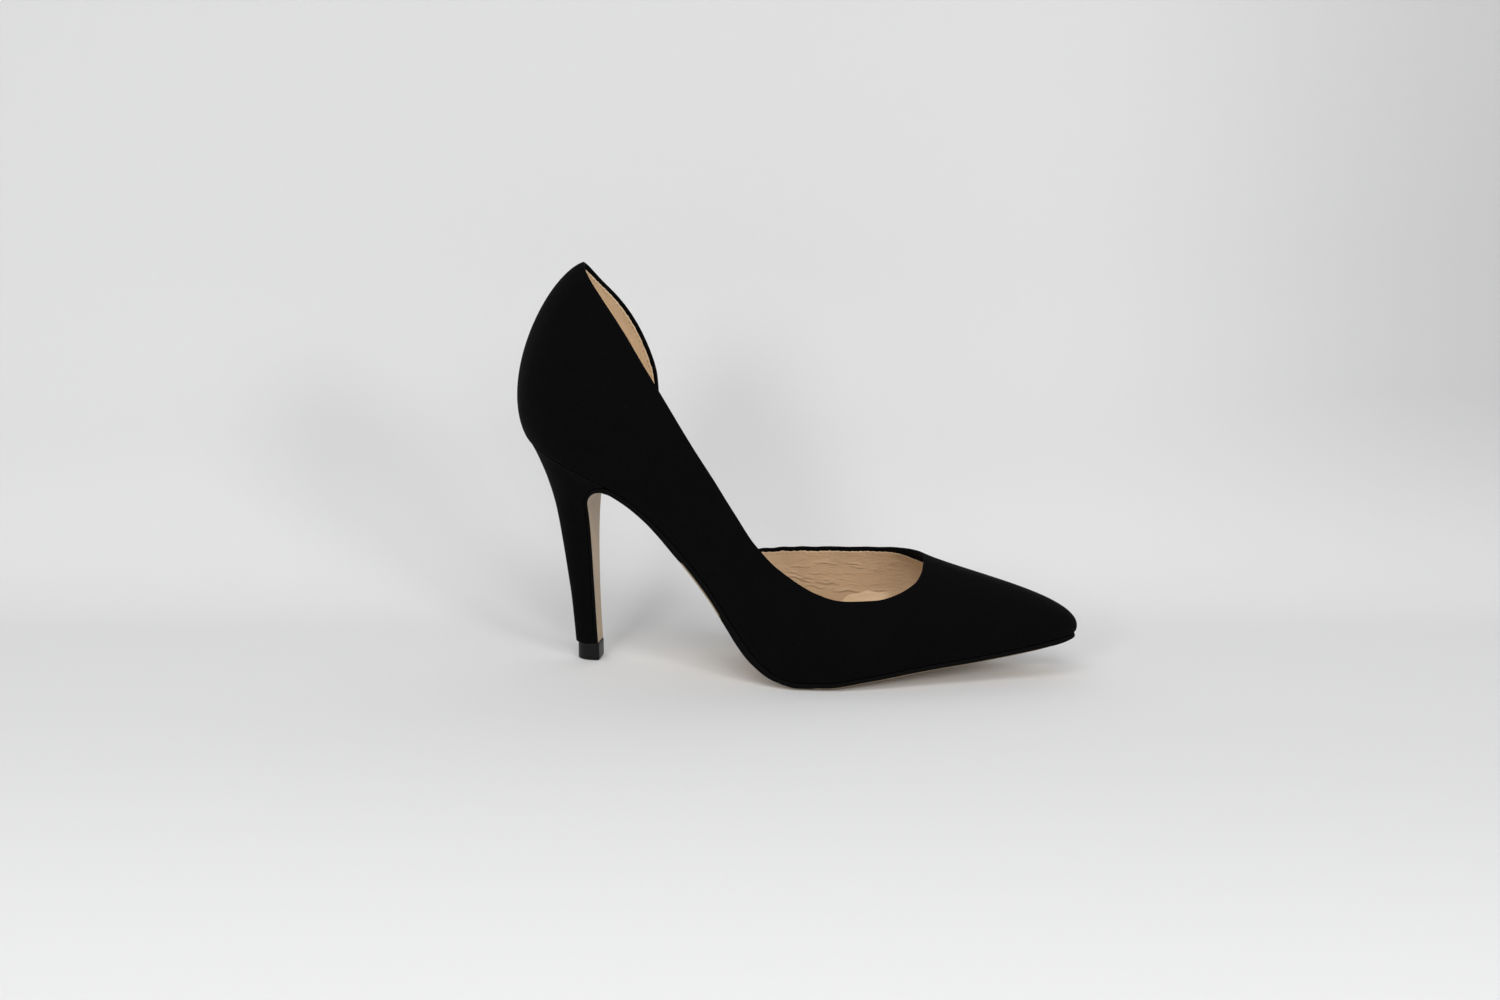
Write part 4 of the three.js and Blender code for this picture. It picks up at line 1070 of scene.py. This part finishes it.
class PUMP_OT_top_piece(bpy.types.Operator):
    """Build the top piece that stands on the floor"""
    bl_idname = "pump.top_piece"
    bl_label = "Top piece"

    def execute(self, context):
        s, last, flap = shapes()
        rows = top_lift_rows(last, flap, s)
        piece = grid_object("top_piece", rows, [moulded_polyurethane(s.lift)], around=False, caps=(0, 0))
        return hand_over(piece, "top_piece", "top_lift")


class PUMP_OT_stitches(bpy.types.Operator):
    """Lay the stitches that hold the lining under the topline"""
    bl_idname = "pump.stitches"
    bl_label = "Topline stitches"

    def execute(self, context):
        s, last, _ = shapes()
        places = last.stations(700)
        profile = last.profile(places)
        length = profile[4][:, None]
        depth = band_depth(s, places, length) + 0.9 * MM
        share = 1 - np.minimum(depth, 0.42 * length) / length
        points = wall_points(last, places, share, profile, s.wall + 0.16 * MM)[:, 0]
        normals = -last.facing(places, profile, share)[:, 0]
        thread = waxed_thread(s.thread, "tan nylon thread")
        sizes = {"Pitch": s.stitch_pitch, "Stitch": s.stitch_length, "Thread": s.thread_width}
        return hand_over(stitch_row("lining_stitches", points, normals, thread, sizes), "sock_leather")


def soft_light(name, energy, size, place, target):
    data = bpy.data.lights.new(name, "AREA")
    data.shape, data.energy = "RECTANGLE", energy
    data.size, data.size_y = size
    lamp = bpy.data.objects.new(name, data)
    bpy.context.collection.objects.link(lamp)
    lamp.location = place
    lamp.rotation_euler = (Vector(target) - Vector(place)).to_track_quat("-Z", "Y").to_euler()
    return lamp


class PUMP_OT_stage(bpy.types.Operator):
    """Set the paper, the soft lights and the camera"""
    bl_idname = "pump.stage"
    bl_label = "Stage"

    def execute(self, context):
        s = settings()
        turn = math.radians(CAMERA["azimuth"])
        across = Vector((math.cos(turn), math.sin(turn), 0))
        away = Vector((-math.sin(turn), math.cos(turn), 0))
        # One sheet of paper: the floor, then a bend that starts close behind the shoe, then the wall.
        slope = math.radians(PAPER["slope"])
        run = [(-PAPER["before"], 0.0), (PAPER["bend_starts"], 0.0)]
        run += [(PAPER["bend_starts"] + PAPER["bend"] * math.sin(a), PAPER["bend"] * (1 - math.cos(a)))
                for a in np.linspace(0.06, slope, 24)]
        run.append((run[-1][0] + PAPER["wall"] * math.cos(slope), run[-1][1] + PAPER["wall"] * math.sin(slope)))
        rows = [[tuple(across * where + away * a + Vector((0.0, 0, b))) for a, b in run]
                for where in np.linspace(-PAPER["beside"], PAPER["beside"], 9)]
        paper = grid_object("paper", np.array(rows), [plain_paper(s.paper)], loop=False, around=False)
        middle = Vector((0.09, 0.0, 0.08))
        for name, energy, size, turned, raised, distance in LAMPS:
            toward = across * math.sin(math.radians(turned)) - away * math.cos(math.radians(turned))
            high = math.radians(raised)
            place = middle + (toward * math.cos(high) + Vector((0, 0, math.sin(high)))) * distance
            soft_light(name, energy, size, place, middle)
        world = bpy.data.worlds.new("studio")
        world.use_nodes = True
        for name, value in FILL.items():
            world.node_tree.nodes["Background"].inputs[name].default_value = value
        context.scene.world = world
        data = bpy.data.cameras.new("camera")
        data.lens, data.sensor_width = CAMERA["lens"], 36.0
        data.clip_start, data.clip_end = 0.01, 50.0
        data.dof.use_dof = False
        camera = bpy.data.objects.new("camera", data)
        context.collection.objects.link(camera)
        rise = math.radians(CAMERA["elevation"])
        back = Vector((math.sin(turn) * math.cos(rise), -math.cos(turn) * math.cos(rise), math.sin(rise)))
        up = back.cross(across)
        axes = Matrix((across, up, back)).transposed().to_4x4()
        camera.matrix_world = Matrix.Translation(CAMERA["place"]) @ axes
        context.scene.camera = camera
        context.scene.view_settings.view_transform = "Standard"
        return {"FINISHED"}


OPERATORS = (
    PUMP_OT_suede_upper, PUMP_OT_lining, PUMP_OT_sock, PUMP_OT_outsole, PUMP_OT_heel, PUMP_OT_top_piece,
    PUMP_OT_stitches, PUMP_OT_stage,
)


class PUMP_PT_shoe(bpy.types.Panel):
    """Sizes, colours and the steps that build the shoe"""
    bl_label = "Pump shoe"
    bl_idname = "PUMP_PT_shoe"
    bl_space_type = "VIEW_3D"
    bl_region_type = "UI"
    bl_category = "Pump shoe"

    def draw(self, context):
        for operator in OPERATORS:
            self.layout.operator(operator.bl_idname)
        for name in PumpShoeSettings.__annotations__:
            self.layout.prop(context.scene.pump_shoe, name)


CLASSES = (PumpShoeSettings,) + OPERATORS + (PUMP_PT_shoe,)


def register():
    for item in CLASSES:
        bpy.utils.register_class(item)
    bpy.types.Scene.pump_shoe = bpy.props.PointerProperty(type=PumpShoeSettings)


def unregister():
    del bpy.types.Scene.pump_shoe
    for item in reversed(CLASSES):
        bpy.utils.unregister_class(item)


def main():
    register()
    bpy.ops.pump.suede_upper()
    bpy.ops.pump.lining()
    bpy.ops.pump.sock()
    bpy.ops.pump.outsole()
    bpy.ops.pump.heel()
    bpy.ops.pump.top_piece()
    bpy.ops.pump.stitches()
    bpy.ops.pump.stage()


if __name__ == "__main__":
    main()
